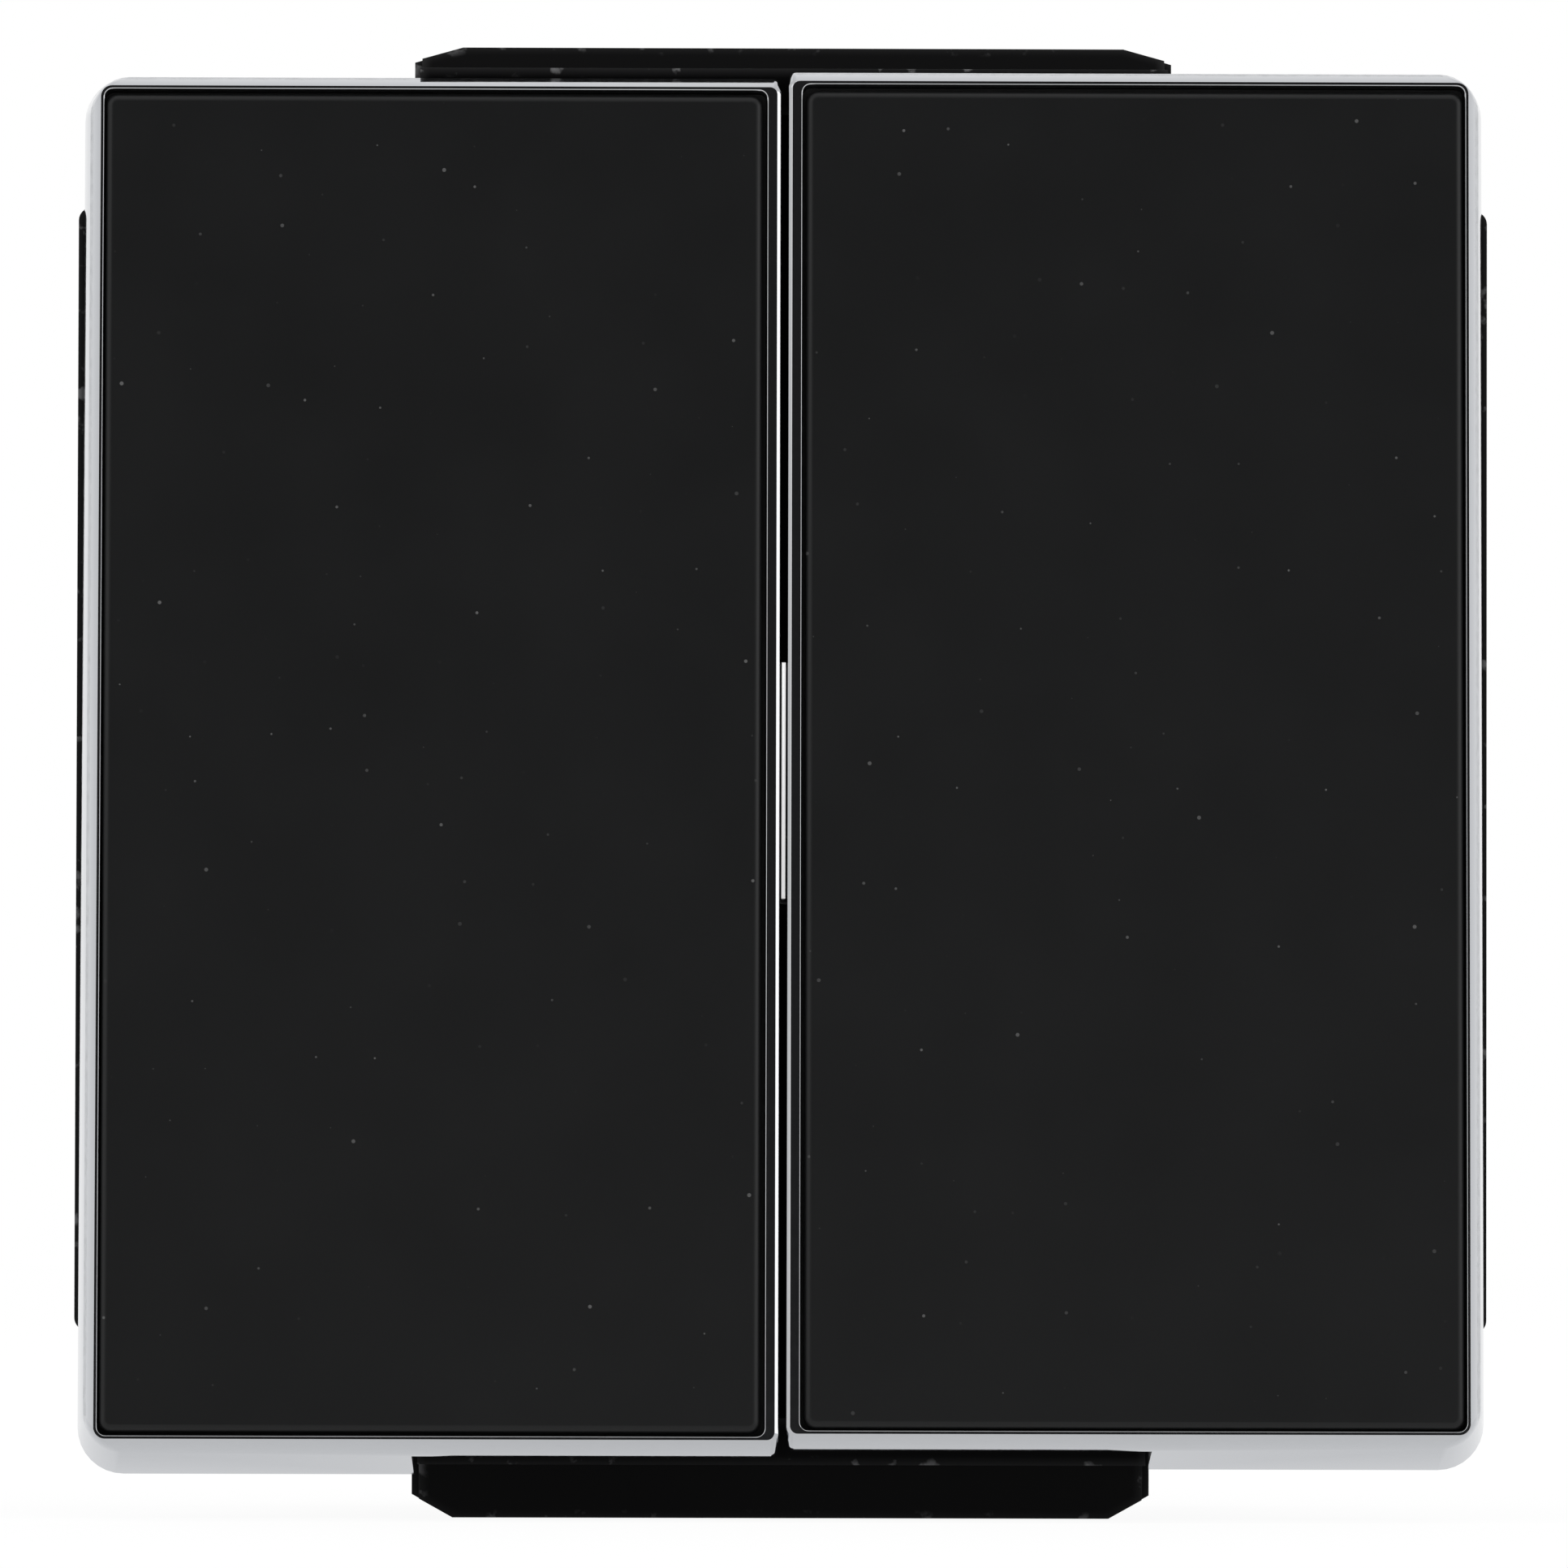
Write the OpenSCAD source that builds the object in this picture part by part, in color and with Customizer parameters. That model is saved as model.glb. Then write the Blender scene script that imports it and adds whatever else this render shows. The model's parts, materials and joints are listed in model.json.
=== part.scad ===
// Double rocker wall switch: two chromed rocker trays with soft black inserts on a black support
// frame, a locator light between them and a two-way switch mechanism behind.
// X runs right, Y runs into the wall and Z runs up. The origin is the middle of the frame's seat.

/* [Rockers] */
// Width of the pair of rockers at the back edges of their skirts
unit_w = 54.7; // [52:0.1:60]
// Height of the rockers at the back edges of their skirts
unit_h = 54.65; // [52:0.05:60]
// Slit between the two rockers
rocker_gap = 0.3; // [0.26:0.02:0.6]
// Depth of a rocker from its rim to the back edge of its skirt
skirt_d = 7; // [6:0.25:7.5]
// How far the skirt flares out towards the back on the left and right
flare_w = 0.46; // [0.2:0.01:0.9]
// How far the skirt flares out towards the back at the top and bottom
flare_h = 0.7; // [0.4:0.05:1.2]
// Width of the bevel along the outer side of the rim
bevel_w = 0.45; // [0.2:0.01:0.6]
// Width of the bevel at the top and bottom of the rim
bevel_h = 0.49; // [0.2:0.01:0.6]
// Depth of those bevels
bevel_d = 1.5; // [0.3:0.05:1.6]
// Thickness of the skirt's wall
skirt_wall = 0.9; // [0.7:0.05:1.2]
// Radius of the skirt's outer corners at the back
skirt_corner_r = 1.8; // [0.8:0.1:2]
// Radius of the outer corners at the back of the bevels
bevel_corner_r = 1.5; // [0.8:0.1:1.8]
// Radius of the rim's corners
rim_corner_r = 0.45; // [0.35:0.05:0.75]
// Width of the rim along its outer side
rim_land = 0.17; // [0.15:0.01:0.4]
// Width of the rim at the top and bottom
rim_land_h = 0.17; // [0.15:0.01:0.4]
// Width of the rim beside the slit
slit_land = 0.55; // [0.4:0.05:0.8]
// Width of the shallow bevel along the slit
slit_bevel_w = 0.14; // [0.1:0.01:0.25]
// Depth of that bevel
slit_bevel_d = 0.11; // [0.08:0.01:0.25]
// Width of the bevel round the inner edge of the rim
pocket_bevel_w = 0.05; // [0.04:0.01:0.13]
// Depth of that bevel
pocket_bevel_d = 0.05; // [0.04:0.01:0.15]
// Thickness of the tray's floor under the insert
tray_floor = 1.2; // [0.8:0.1:1.3]
// Set-back of the skirt beside the slit, behind the tray
slit_setback = 0.6; // [0.5:0.05:0.9]
// Tilt of each rocker from level to either end of its travel
rock_angle = 2.2; // [1.6:0.1:2.4]
// Depth of the rocker's pivot behind its rim
pivot_d = 4.2; // [4.1:0.05:4.4]
// Height of the right rocker above the left one
rocker_step = 0.25; // [0:0.01:0.3]

/* [Inserts] */
// Thickness of the soft black insert
insert_t = 1; // [0.8:0.1:1.2]
// How far the insert's face stands above the rim
insert_proud = 0.1; // [0:0.02:0.2]
// Gap between the insert and the tray at its sides
insert_gap = 0.1; // [0.08:0.01:0.3]
// Gap between the insert and the tray at its top and bottom
insert_gap_h = 0.13; // [0.12:0.01:0.3]
// Radius of the insert's rounded front edge
insert_edge_r = 0.32; // [0.1:0.02:0.4]
// Radius of the insert's corners
insert_corner_r = 0.47; // [0.45:0.01:0.8]
// How far the left insert was stuck outwards of the middle of its tray
left_insert_shift = 0.06; // [0:0.01:0.06]
// How far the right insert was stuck outwards of the middle of its tray
right_insert_shift = 0.03; // [0:0.01:0.06]
// How far the left insert was stuck below the middle of its tray
left_insert_drop = 0.04; // [0:0.01:0.1]
// How far the right insert was stuck below the middle of its tray
right_insert_drop = 0.1; // [0:0.01:0.1]
// Thickness of the adhesive film under the insert
film_t = 0.2; // [0.1:0.05:0.3]
// Clearance of the film in the tray's pocket
film_clear = 0.02; // [0.01:0.01:0.15]

/* [Support frame] */
// Height of the rims above the frame's seat, with the rockers level
rim_front = 10.75; // [10.5:0.25:12]
// Thickness of the frame's flange
flange_t = 2; // [1.8:0.1:2.2]
// Width of the flange across its side ears
ear_w = 55.25; // [55:0.05:58]
// Height of the side ears
ear_h = 44; // [38:1:48]
// Width of the flange between its ears
flange_w = 52.4; // [51:0.2:54]
// Radius of the ejector marks in the flange's back
mark_r = 1; // [0.6:0.1:1.4]
// Depth of the ejector marks
mark_d = 0.2; // [0.1:0.05:0.3]
// Radius of the corners of the ears
ear_corner_r = 0.5; // [0.3:0.1:1]
// Radius of the corners of the flange
flange_corner_r = 2; // [1:0.25:4]
// Reach of the upper latch to the left of the middle
upper_latch_left = 14.45; // [12:0.05:15.2]
// Reach of the upper latch to the right of the middle
upper_latch_right = 15.2; // [12:0.05:15.2]
// Reach of the lower latch to either side of the middle
lower_latch_half = 14.4; // [12:0.05:15.2]
// Height of the upper latch's tip above the middle
upper_latch_z = 28.25; // [28:0.05:29.5]
// Depth of the lower latch's tip below the middle
lower_latch_z = 29.25; // [28:0.05:30]
// Thickness of the latch's upright wall
latch_wall = 1.8; // [1.4:0.1:2.4]
// Height across the outer faces of the latch walls
latch_wall_span = 54.2; // [53.6:0.1:54.6]
// How far the flange reaches into the latch walls
latch_root = 0.9; // [0.6:0.1:1.4]
// Height of the latch wall above the seat
latch_front = 7; // [6.4:0.1:7.2]
// Height of the front edge of the latch's tip above the seat
latch_tip_front = 3; // [2.6:0.1:4]
// Length of the lead-in slope in front of the latch's tip
latch_lead = 0.5; // [0.3:0.1:2]
// Height of the back edge of the latch's tip above the seat
latch_tip_back = 1.5; // [1:0.1:2]
// Height of the latch's full width above the seat
latch_wing = 2.4; // [2:0.1:2.5]
// How far the latch is narrower at each end in front of that
latch_inset = 0.3; // [0.1:0.05:0.5]
// Width of the cut corners at the upper latch's tip
upper_cut_x = 1.9; // [0.5:0.1:2.5]
// Height of the cut corners at the upper latch's tip
upper_cut_z = 0.55; // [0.3:0.05:0.8]
// Width of the cut corners at the lower latch's tip
lower_cut_x = 1.6; // [0.5:0.1:2.5]
// Height of the cut corners at the lower latch's tip
lower_cut_z = 0.9; // [0.3:0.05:1.5]
// Clearance of the skirt round a latch
latch_clear = 0.15; // [0.1:0.05:0.6]

/* [Rocker bearings] */
// Radius of the journals that carry a rocker
journal_r = 1; // [0.9:0.05:1.1]
// Clearance of a journal in its bearing
journal_clear = 0.05; // [0.02:0.01:0.1]
// Thickness of a bearing post
post_t = 1.8; // [1.4:0.1:2]
// Wall of the post above its bearing
post_cap = 0.5; // [0.4:0.05:0.55]
// Distance of the inner posts' near faces from the middle
post_inner_x = 2.3; // [2.3:0.1:2.5]
// Distance of the outer posts' near faces from the middle
post_outer_x = 22.6; // [22.3:0.1:22.8]
// Sideways clearance between a post and the lever's cheek
cheek_clear = 0.3; // [0.2:0.05:0.4]
// Thickness of the lever's cheeks
cheek_t = 1.8; // [1.4:0.1:2]
// Thickness of the lever's plate
lever_t = 1.2; // [1:0.1:1.3]
// Height of the lever's plate
lever_h = 32; // [28:1:36]
// Radius of the pegs that hold the lever to the tray
peg_r = 1.1; // [0.9:0.1:1.4]
// Clearance of a peg in the lever's plate
peg_clear = 0.05; // [0.02:0.01:0.1]
// Distance of the pegs above and below the pivot
peg_z = 12; // [9:0.5:13]
// Clearance of a stop pad behind the lever at the end of its travel
stop_clear = 0.18; // [0.1:0.02:0.3]

/* [Mechanism] */
// Width and height of the mechanism's box
box_w = 44; // [43.6:0.2:44.4]
// Depth of the housing behind its cover
box_d = 21; // [21:0.5:24]
// Wall of the housing
box_wall = 3; // [3:0.1:3.2]
// Depth of the sunk panel in the housing's back
panel_d = 0.4; // [0.2:0.05:0.6]
// Border round that panel
panel_border = 1.6; // [1.2:0.1:2]
// Length of the wire gauge in the housing's back
gauge_l = 8; // [6:0.5:12]
// Width of the wire gauge
gauge_w = 1.6; // [1:0.1:2.4]
// Width of the grip grooves round the housing
grip_w = 1; // [0.6:0.1:1.2]
// Depth of the grip grooves
grip_d = 0.5; // [0.3:0.05:0.8]
// Thickness of the housing's back
box_back = 2; // [1.8:0.1:2.2]
// Radius of the corners of the box
box_corner_r = 2; // [1:0.25:3]
// Thickness of the wall between the two switches
partition_t = 1.6; // [1.4:0.1:2]
// Thickness of the mechanism's cover
cover_t = 2; // [1.9:0.1:2.2]
// Clearance of the box in the frame's recess
recess_clear = 0.15; // [0.1:0.05:0.3]
// Depth of the recess in the frame's back
recess_d = 1; // [0.9:0.05:1.1]
// Distance of each plunger from the middle
gang_x = 10; // [9.6:0.1:10.2]
// Radius of the tower that guides the plunger
tower_r = 3.2; // [2.8:0.1:3.4]
// Side of the windows that the towers pass through
window_w = 9.2; // [8.8:0.2:9.4]
// Depth of the tower's end behind the seat
tower_end = 2.4; // [2:0.1:3]
// Radius of the plunger
plunger_r = 1.6; // [1.4:0.05:1.8]
// Clearance of the plunger in its bore
plunger_clear = 0.05; // [0.02:0.01:0.1]
// Length of the plunger
plunger_l = 8.2; // [7.6:0.1:8.6]
// Gap between the plunger's tip and the level contact rocker
plunger_gap = 0.12; // [0.08:0.02:0.2]
// Length of the plunger's spring
spring_l = 3.6; // [3:0.1:4]
// Wire of the plunger's spring
spring_wire = 0.3; // [0.2:0.02:0.36]
// Turns of the plunger's spring
spring_turns = 4; // [3:1:5]

/* [Contacts] */
// Tilt of the contact rocker either way
contact_angle = 5.5; // [4:0.1:5.6]
// Depth of the contact rocker's pivot behind the seat
contact_pivot_y = 8.4; // [8.2:0.1:8.5]
// Radius of the knife edge that the contact rocker tilts on
knife_r = 0.6; // [0.5:0.05:0.7]
// Clearance of the knife edge in its saddle
knife_clear = 0.05; // [0.02:0.01:0.1]
// Thickness of the contact strips
strip_t = 0.8; // [0.6:0.05:1]
// Width of the contact rocker
contact_w = 5; // [4:0.25:5.5]
// Length of the contact rocker
contact_l = 17.8; // [17:0.2:18]
// Distance of the contact rivets from the pivot
rivet_z = 7.5; // [7:0.1:7.6]
// Radius of the moving rivets
moving_rivet_r = 1; // [0.8:0.05:1.1]
// Radius of the fixed rivets
fixed_rivet_r = 1.4; // [1.2:0.05:1.8]
// Height of the rivets
rivet_h = 0.6; // [0.4:0.05:0.6]
// Gap at the closed contact, at the rivet's outer edge
contact_gap = 0.08; // [0.06:0.01:0.15]

/* [Terminals] */
// Distance of the wire entries from the middle of their switch
entry_reach = 15; // [14.8:0.1:15.1]
// Radius of the wire bore in a terminal
wire_r = 1.5; // [1.2:0.05:1.55]
// Depth of the wire bore
wire_depth = 6; // [5:0.25:6.2]
// Length of a terminal block
block_d = 7; // [6.6:0.1:7.2]
// Width of a terminal block
block_w = 6; // [5.4:0.1:6.4]
// Wall of the block on the contact side of its wire bore
block_wall = 0.9; // [0.7:0.05:1]
// Radius of the wire funnels in the housing's back
funnel_r = 1.9; // [1.85:0.05:2.1]
// Radius of the mouths of those funnels
mouth_r = 2.6; // [2.2:0.05:2.9]
// Depth of the mouths of those funnels
mouth_d = 0.9; // [0.5:0.1:1.2]
// Radius of the bosses that seat the blocks
boss_r = 2.9; // [2.6:0.05:2.95]
// Radius of the clamp screws
screw_r = 1.25; // [1:0.05:1.4]
// Radius of the clamp screws' heads
screw_head_r = 2; // [1.7:0.05:2.1]
// Clearance of a screw in its block
screw_clear = 0.05; // [0.02:0.01:0.1]
// Clearance of a screw's head in the housing's wall
screw_head_clear = 0.2; // [0.1:0.05:0.3]
// Length of the screw's head
screw_head_l = 1.7; // [1.2:0.1:2]

/* [Locator light] */
// Length of the light guide that shows between the rockers
guide_l = 9.1; // [6:0.1:9.2]
// How far the middle of the guide lies below the middle of the unit
guide_drop = 0.7; // [0:0.05:0.7]
// Thickness of the guide's tip in the slit
guide_tip_t = 0.15; // [0.12:0.01:0.2]
// Thickness of the guide behind the rims
guide_t = 0.9; // [0.7:0.05:1]
// Depth of the guide's tip below the level rims
guide_sink = 0.3; // [0.25:0.05:0.6]
// Thickness of the guide's foot
guide_foot_t = 0.6; // [0.4:0.05:0.6]
// Ledge of the foot round the guide
guide_ledge = 0.7; // [0.4:0.05:0.9]
// Clearance of the guide's shoulder behind the trays
guide_shoulder_clear = 0.3; // [0.25:0.05:0.5]
// Depth of the guide's shoulder
guide_shoulder_d = 0.5; // [0.3:0.05:0.8]
// Width of the lamp's board
board_w = 6; // [4.5:0.5:7]
// Height of the lamp's board
board_h = 12; // [9:0.5:14]
// Thickness of the lamp's board
board_t = 0.8; // [0.6:0.1:1]
// Side of the lamp
lamp_w = 3; // [2:0.25:4]
// Thickness of the lamp
lamp_t = 0.5; // [0.4:0.05:0.6]

/* [Hidden] */
$fn = 48;
EPS = 0.01;
// More than enough to cut right through
FAR = 100;
LEFT = -1;
RIGHT = 1;
// Segments in each quarter of a corner
CORNER_STEPS = 8;

// Levels along Y, from the rims back
rim_y = -rim_front;
pocket_d = insert_t + film_t - insert_proud;
tray_d = pocket_d + tray_floor;
tray_y = rim_y + tray_d;
skirt_y = rim_y + skirt_d;
pivot_y = rim_y + pivot_d;
flange_y = -flange_t;
recess_y = -recess_d;
cover_back_y = recess_y + cover_t;
box_back_y = cover_back_y + box_d;
box_floor_y = box_back_y - box_back;
panel_y = box_back_y - panel_d;

// Outlines of one rocker, measured from the middle of the pair
slit_x = rocker_gap / 2;
skirt_x = unit_w / 2;
skirt_z = unit_h / 2;
bevel_x = skirt_x - flare_w;
bevel_z = skirt_z - flare_h;
rim_x = bevel_x - bevel_w;
rim_z = bevel_z - bevel_h;
pocket_x0 = slit_x + slit_land;
pocket_x1 = rim_x - rim_land;
pocket_z = rim_z - rim_land_h;
slit_wall_x = slit_x + slit_setback;
slit_corner_r = 0.3;
flange_z = latch_wall_span / 2 - latch_wall + latch_root;
// The skirt is cut away over the latches, to a little inside its wall
notch_margin = 1;
notch_z = bevel_z - skirt_wall - notch_margin;

// Lever between the two bearing posts of a rocker
cheek_in_x = post_inner_x + post_t + cheek_clear;
cheek_out_x = post_outer_x - cheek_clear;
cheek_ring = 1.8;
cheek_half = journal_r + cheek_ring;
lever_y = tray_y + lever_t;
web_t = 1.6;
web_d = pivot_y + web_t - lever_y;
journal_sink = 0.2;
journal_reach = post_t + cheek_clear - journal_sink;
bearing_r = journal_r + journal_clear;
peg_inset = 1.8;
peg_x = [cheek_in_x + cheek_t + peg_inset, cheek_out_x - cheek_t - peg_inset];
peg_head = 0.6;
rib_z = 20;
rib_t = 0.8;
rib_d = 1.7;

// Bearing posts widen towards the flange
post_ring = 1;
post_spread = 1.2;
post_top_half = bearing_r + post_ring;
post_foot_half = post_top_half + post_spread;

// Stop pads meet the lever's plate at the ends of its travel
stop_z = lever_h / 2;
stop_h = 1.5;
stop_w = 4;
stop_inset = 0.6;
stop_x0 = gang_x + window_w / 2 + stop_inset;
stop_y = pivot_y - (pivot_y - lever_y) * cos(rock_angle) + stop_z * sin(rock_angle) + stop_clear;

// Plunger and spring, level
saddle_cap = 0.5;
contact_face_y = contact_pivot_y - knife_r - saddle_cap;
plunger_tip_y = contact_face_y - plunger_gap;
plunger_end_y = plunger_tip_y - plunger_l;
bore_end_y = plunger_end_y - spring_l;
bore_r = plunger_r + plunger_clear;
spring_inset = 0.45;
spring_r = plunger_r - spring_inset;

// Contacts
contact_back_y = contact_face_y + strip_t;
moving_face_y = contact_back_y + rivet_h;
closed_reach = (rivet_z + moving_rivet_r) * sin(contact_angle);
closed_base = (moving_face_y - contact_pivot_y) * cos(contact_angle);
fixed_face_y = contact_pivot_y + closed_base + closed_reach + contact_gap;
strip_y = fixed_face_y + rivet_h;
strip_inset = 0.5;
strip_w = contact_w - 2 * strip_inset;
strip_margin = 0.5;
knife_inset = 1;
knife_w = contact_w - 2 * knife_inset;

// Grip grooves stay clear of the screws, the hooks and the corners
grip_clear = 1.4;
grip_middle = entry_reach + grip_clear;
grip_pitch = 1.8;
grip_x = [for (end = [-1, 1], i = [-1 : 1]) end * grip_middle + i * grip_pitch];
grip_front = 8;
grip_back = 3;
grip_y = [cover_back_y + grip_front, box_back_y - grip_back];

// Terminals seat on bosses in the housing's back
block_y = strip_y;
block_back_y = block_y + block_d;
block_near = entry_reach - wire_r - block_wall;
cell_x = box_w / 2 - box_wall;
block_clear = 0.1;
block_far = cell_x - block_clear;
screw_y = block_back_y - wire_depth / 2;
screw_tip = entry_reach + wire_r + screw_clear;
screw_lift = 0.3;
screw_head_at = cell_x + screw_lift;

// Snap hooks of the frame that hold the box
hook_z = 12;
hook_w = 4;
hook_t = 1.2;
hook_clear = 0.15;
hook_sink = 0.1;
hook_x = box_w / 2 - hook_t - hook_sink;
hook_barb = 0.8;
hook_land = 0.4;
hook_reach = 2.8;
hook_nose = 2.2;
hook_catch_y = cover_back_y + hook_reach;
hook_end_y = hook_catch_y + hook_nose;

// Ejector marks lie on the ring of the flange round the box
mark_place = box_w / 4 + flange_w / 4;

// Locator light
board_clear = 0.1;
lamp_window_w = board_w + 2 * board_clear;
lamp_window_h = board_h + 2 * board_clear;
board_y = cover_back_y - board_t;
lamp_y = board_y - lamp_t;
guide_foot_w = guide_t + 2 * guide_ledge;
guide_foot_l = guide_l + 2 * guide_ledge;
guide_slot_clear = 0.15;

function pivot_z(side) = side * rocker_step / 2;

// Reach of the cut in a skirt over the latch at one end
function notch_x(side, end) =
    (end < 0 ? lower_latch_half : side == LEFT ? upper_latch_left : upper_latch_right)
    - latch_inset + latch_clear;

// Points of a quarter arc about (cx, cz)
function corner(cx, cz, r, from) = [
    for (i = [0 : CORNER_STEPS])
        let (a = from + 90 * i / CORNER_STEPS) [cx + r * cos(a), cz + r * sin(a)]
];

// Rounded outline in X and Z, with one radius beside the slit and one away from it
function outline(x0, x1, z, r_slit, r_out) = concat(
    corner(x1 - r_out, z - r_out, r_out, 0),
    corner(x0 + r_slit, z - r_slit, r_slit, 90),
    corner(x0 + r_slit, -z + r_slit, r_slit, 180),
    corner(x1 - r_out, -z + r_out, r_out, 270)
);

// Outline of the insert's pocket, grown by a margin
function pocket_outline(margin) =
    let (r = slit_corner_r + margin)
        outline(pocket_x0 - margin, pocket_x1 + margin, pocket_z + margin, r, r);

// Share of the way from the bevel to the skirt's back edge at a depth behind the rim
function flare_at(d) = (d - bevel_d) / (skirt_d - bevel_d);

// Solid through a list of [y, outline] sections, front to back
module loft(sections) {
    n = len(sections[0][1]);
    last = len(sections) - 1;
    points = [for (s = sections) for (p = s[1]) [p[0], s[0], p[1]]];
    sides = [
        for (k = [0 : last - 1]) for (i = [0 : n - 1])
            let (a = k * n + i, b = k * n + (i + 1) % n)
                each [[a, b, b + n], [a, b + n, a + n]]
    ];
    front = [for (i = [n - 1 : -1 : 0]) i];
    back = [for (i = [0 : n - 1]) last * n + i];
    polyhedron(points, concat([front, back], sides));
}

// A box given by its low and high corners
module block(low, high) {
    translate(low) cube(high - low);
}

// A plate across Y with rounded corners
module slab(half_x, half_z, r, y0, y1) {
    translate([0, y1, 0]) rotate([90, 0, 0])
        linear_extrude(y1 - y0)
            polygon(outline(-half_x, half_x, half_z, r, r));
}

// A round bar along Y
module bar_y(x, z, y0, y1, r) {
    translate([x, y0, z]) rotate([-90, 0, 0]) cylinder(h = y1 - y0, r = r);
}

// A round bar along X
module bar_x(x0, x1, y, z, r) {
    translate([x0, y, z]) rotate([0, 90, 0]) cylinder(h = x1 - x0, r = r);
}

// A bar along X with the given outline in Y and Z
module bar_along_x(x0, x1, points) {
    translate([x0, 0, 0]) rotate([90, 0, 90])
        linear_extrude(x1 - x0)
            polygon(points);
}

// Shapes are drawn for the right-hand switch, and mirrored for the left-hand one
module on_side(side) {
    mirror([side == LEFT ? 1 : 0, 0, 0]) children();
}

// Moves a rocker that is drawn level to its rest, with its upper half pressed in
module at_rest(side) {
    translate([0, pivot_y, pivot_z(side)])
        rotate([-rock_angle, 0, 0])
            translate([0, -pivot_y, 0])
                on_side(side) children();
}

// Moves a contact rocker that is drawn level to its rest, with its lower end closed
module contact_at_rest(side) {
    translate([0, contact_pivot_y, 0])
        rotate([contact_angle, 0, 0])
            translate([0, -contact_pivot_y, 0])
                on_side(side) children();
}

// Tapered block of a rocker, with the bevels round its rim
module rocker_shell() {
    r = slit_corner_r;
    share = slit_bevel_d / bevel_d;
    x = rim_x + bevel_w * share;
    z = rim_z + bevel_h * share;
    corner_r = rim_corner_r + (bevel_corner_r - rim_corner_r) * share;
    loft([
        [rim_y, outline(slit_x + slit_bevel_w, rim_x, rim_z, r, rim_corner_r)],
        [rim_y + slit_bevel_d, outline(slit_x, x, z, r, corner_r)],
        [rim_y + bevel_d, outline(slit_x, bevel_x, bevel_z, r, bevel_corner_r)],
        [skirt_y, outline(slit_x, skirt_x, skirt_z, r, skirt_corner_r)]
    ]);
}

module skirt_hollow() {
    x0 = slit_wall_x + skirt_wall;
    at_tray = flare_at(tray_d);
    r = slit_corner_r;
    loft([
        [tray_y, outline(x0, bevel_x + flare_w * at_tray - skirt_wall,
                         bevel_z + flare_h * at_tray - skirt_wall, r, r)],
        [skirt_y + EPS, outline(x0, skirt_x - skirt_wall, skirt_z - skirt_wall, r, r)]
    ]);
}

// Chromed tray of one rocker, with pegs and ribs behind its floor
module bezel(side) {
    color("silver") at_rest(side) {
        difference() {
            rocker_shell();
            skirt_hollow();
            insert_pocket();
            block([-FAR, tray_y, -FAR], [slit_wall_x, FAR, FAR]);
            for (end = [-1, 1])
                latch_notch(end, notch_x(side, end));
        }
        for (x = peg_x, end = [-1, 1])
            bar_y(x, end * peg_z, tray_y - EPS, lever_y + peg_head, peg_r);
        for (end = [-1, 1])
            tray_rib(end);
    }
}

// Pocket for the insert, opening out through the bevel at its edge
module insert_pocket() {
    loft([
        [rim_y - pocket_bevel_d, pocket_outline(2 * pocket_bevel_w)],
        [rim_y + pocket_bevel_d, pocket_outline(0)],
        [rim_y + pocket_d, pocket_outline(0)]
    ]);
}

module latch_notch(end, x) {
    block([-FAR, tray_y, end > 0 ? notch_z : -FAR], [x, FAR, end > 0 ? FAR : -notch_z]);
}

module tray_rib(end) {
    at_rib = flare_at(tray_d);
    x1 = bevel_x + flare_w * at_rib - skirt_wall;
    block([slit_wall_x + skirt_wall - EPS, tray_y - EPS, end * rib_z - rib_t / 2],
          [x1 + EPS, tray_y + rib_d, end * rib_z + rib_t / 2]);
}

// Soft black panel with a rounded front edge
module insert(side) {
    drop = side == RIGHT ? right_insert_drop : left_insert_drop;
    shift = side == RIGHT ? right_insert_shift : left_insert_shift;
    face_y = rim_y - insert_proud;
    x0 = pocket_x0 + insert_gap;
    x1 = pocket_x1 - insert_gap;
    z = pocket_z - insert_gap_h;
    steps = 4;
    edge = [
        for (i = [0 : steps])
            let (a = 90 * i / steps, in = insert_edge_r * (1 - sin(a)))
                [face_y + insert_edge_r * (1 - cos(a)),
                 outline(x0 + in, x1 - in, z - in, insert_corner_r - in, insert_corner_r - in)]
    ];
    back = [face_y + insert_t, outline(x0, x1, z, insert_corner_r, insert_corner_r)];
    color([0.1, 0.1, 0.11])
        at_rest(side)
            translate([shift, 0, -drop])
                loft(concat(edge, [back]));
}

// Black adhesive film that fills the floor of the pocket under the insert
module film(side) {
    color([0.08, 0.08, 0.08])
        at_rest(side)
            translate([0, rim_y + pocket_d, 0]) rotate([90, 0, 0])
                linear_extrude(film_t)
                    polygon(pocket_outline(-film_clear));
}

// Lever behind a tray: plate, two cheeks with journals, and the plunger's tower
module lever(side) {
    color([0.12, 0.12, 0.13]) at_rest(side)
        difference() {
            union() {
                block([cheek_in_x, tray_y, -lever_h / 2], [cheek_out_x, lever_y, lever_h / 2]);
                lever_cheek(cheek_in_x);
                lever_cheek(cheek_out_x - cheek_t);
                bar_x(cheek_in_x - journal_reach, cheek_in_x + EPS, pivot_y, 0, journal_r);
                bar_x(cheek_out_x - EPS, cheek_out_x + journal_reach, pivot_y, 0, journal_r);
                bar_y(gang_x, 0, lever_y - EPS, tower_end, tower_r);
                tower_web();
            }
            block([-FAR, -FAR, -FAR], [FAR, tray_y, FAR]);
            for (x = peg_x, end = [-1, 1])
                bar_y(x, end * peg_z, tray_y - 1, lever_y + 1, peg_r + peg_clear);
            bar_y(gang_x, 0, bore_end_y, tower_end + 1, bore_r);
        }
}

module lever_cheek(x) {
    block([x, tray_y, -cheek_half], [x + cheek_t, pivot_y, cheek_half]);
    bar_x(x, x + cheek_t, pivot_y, 0, cheek_half);
}

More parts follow.
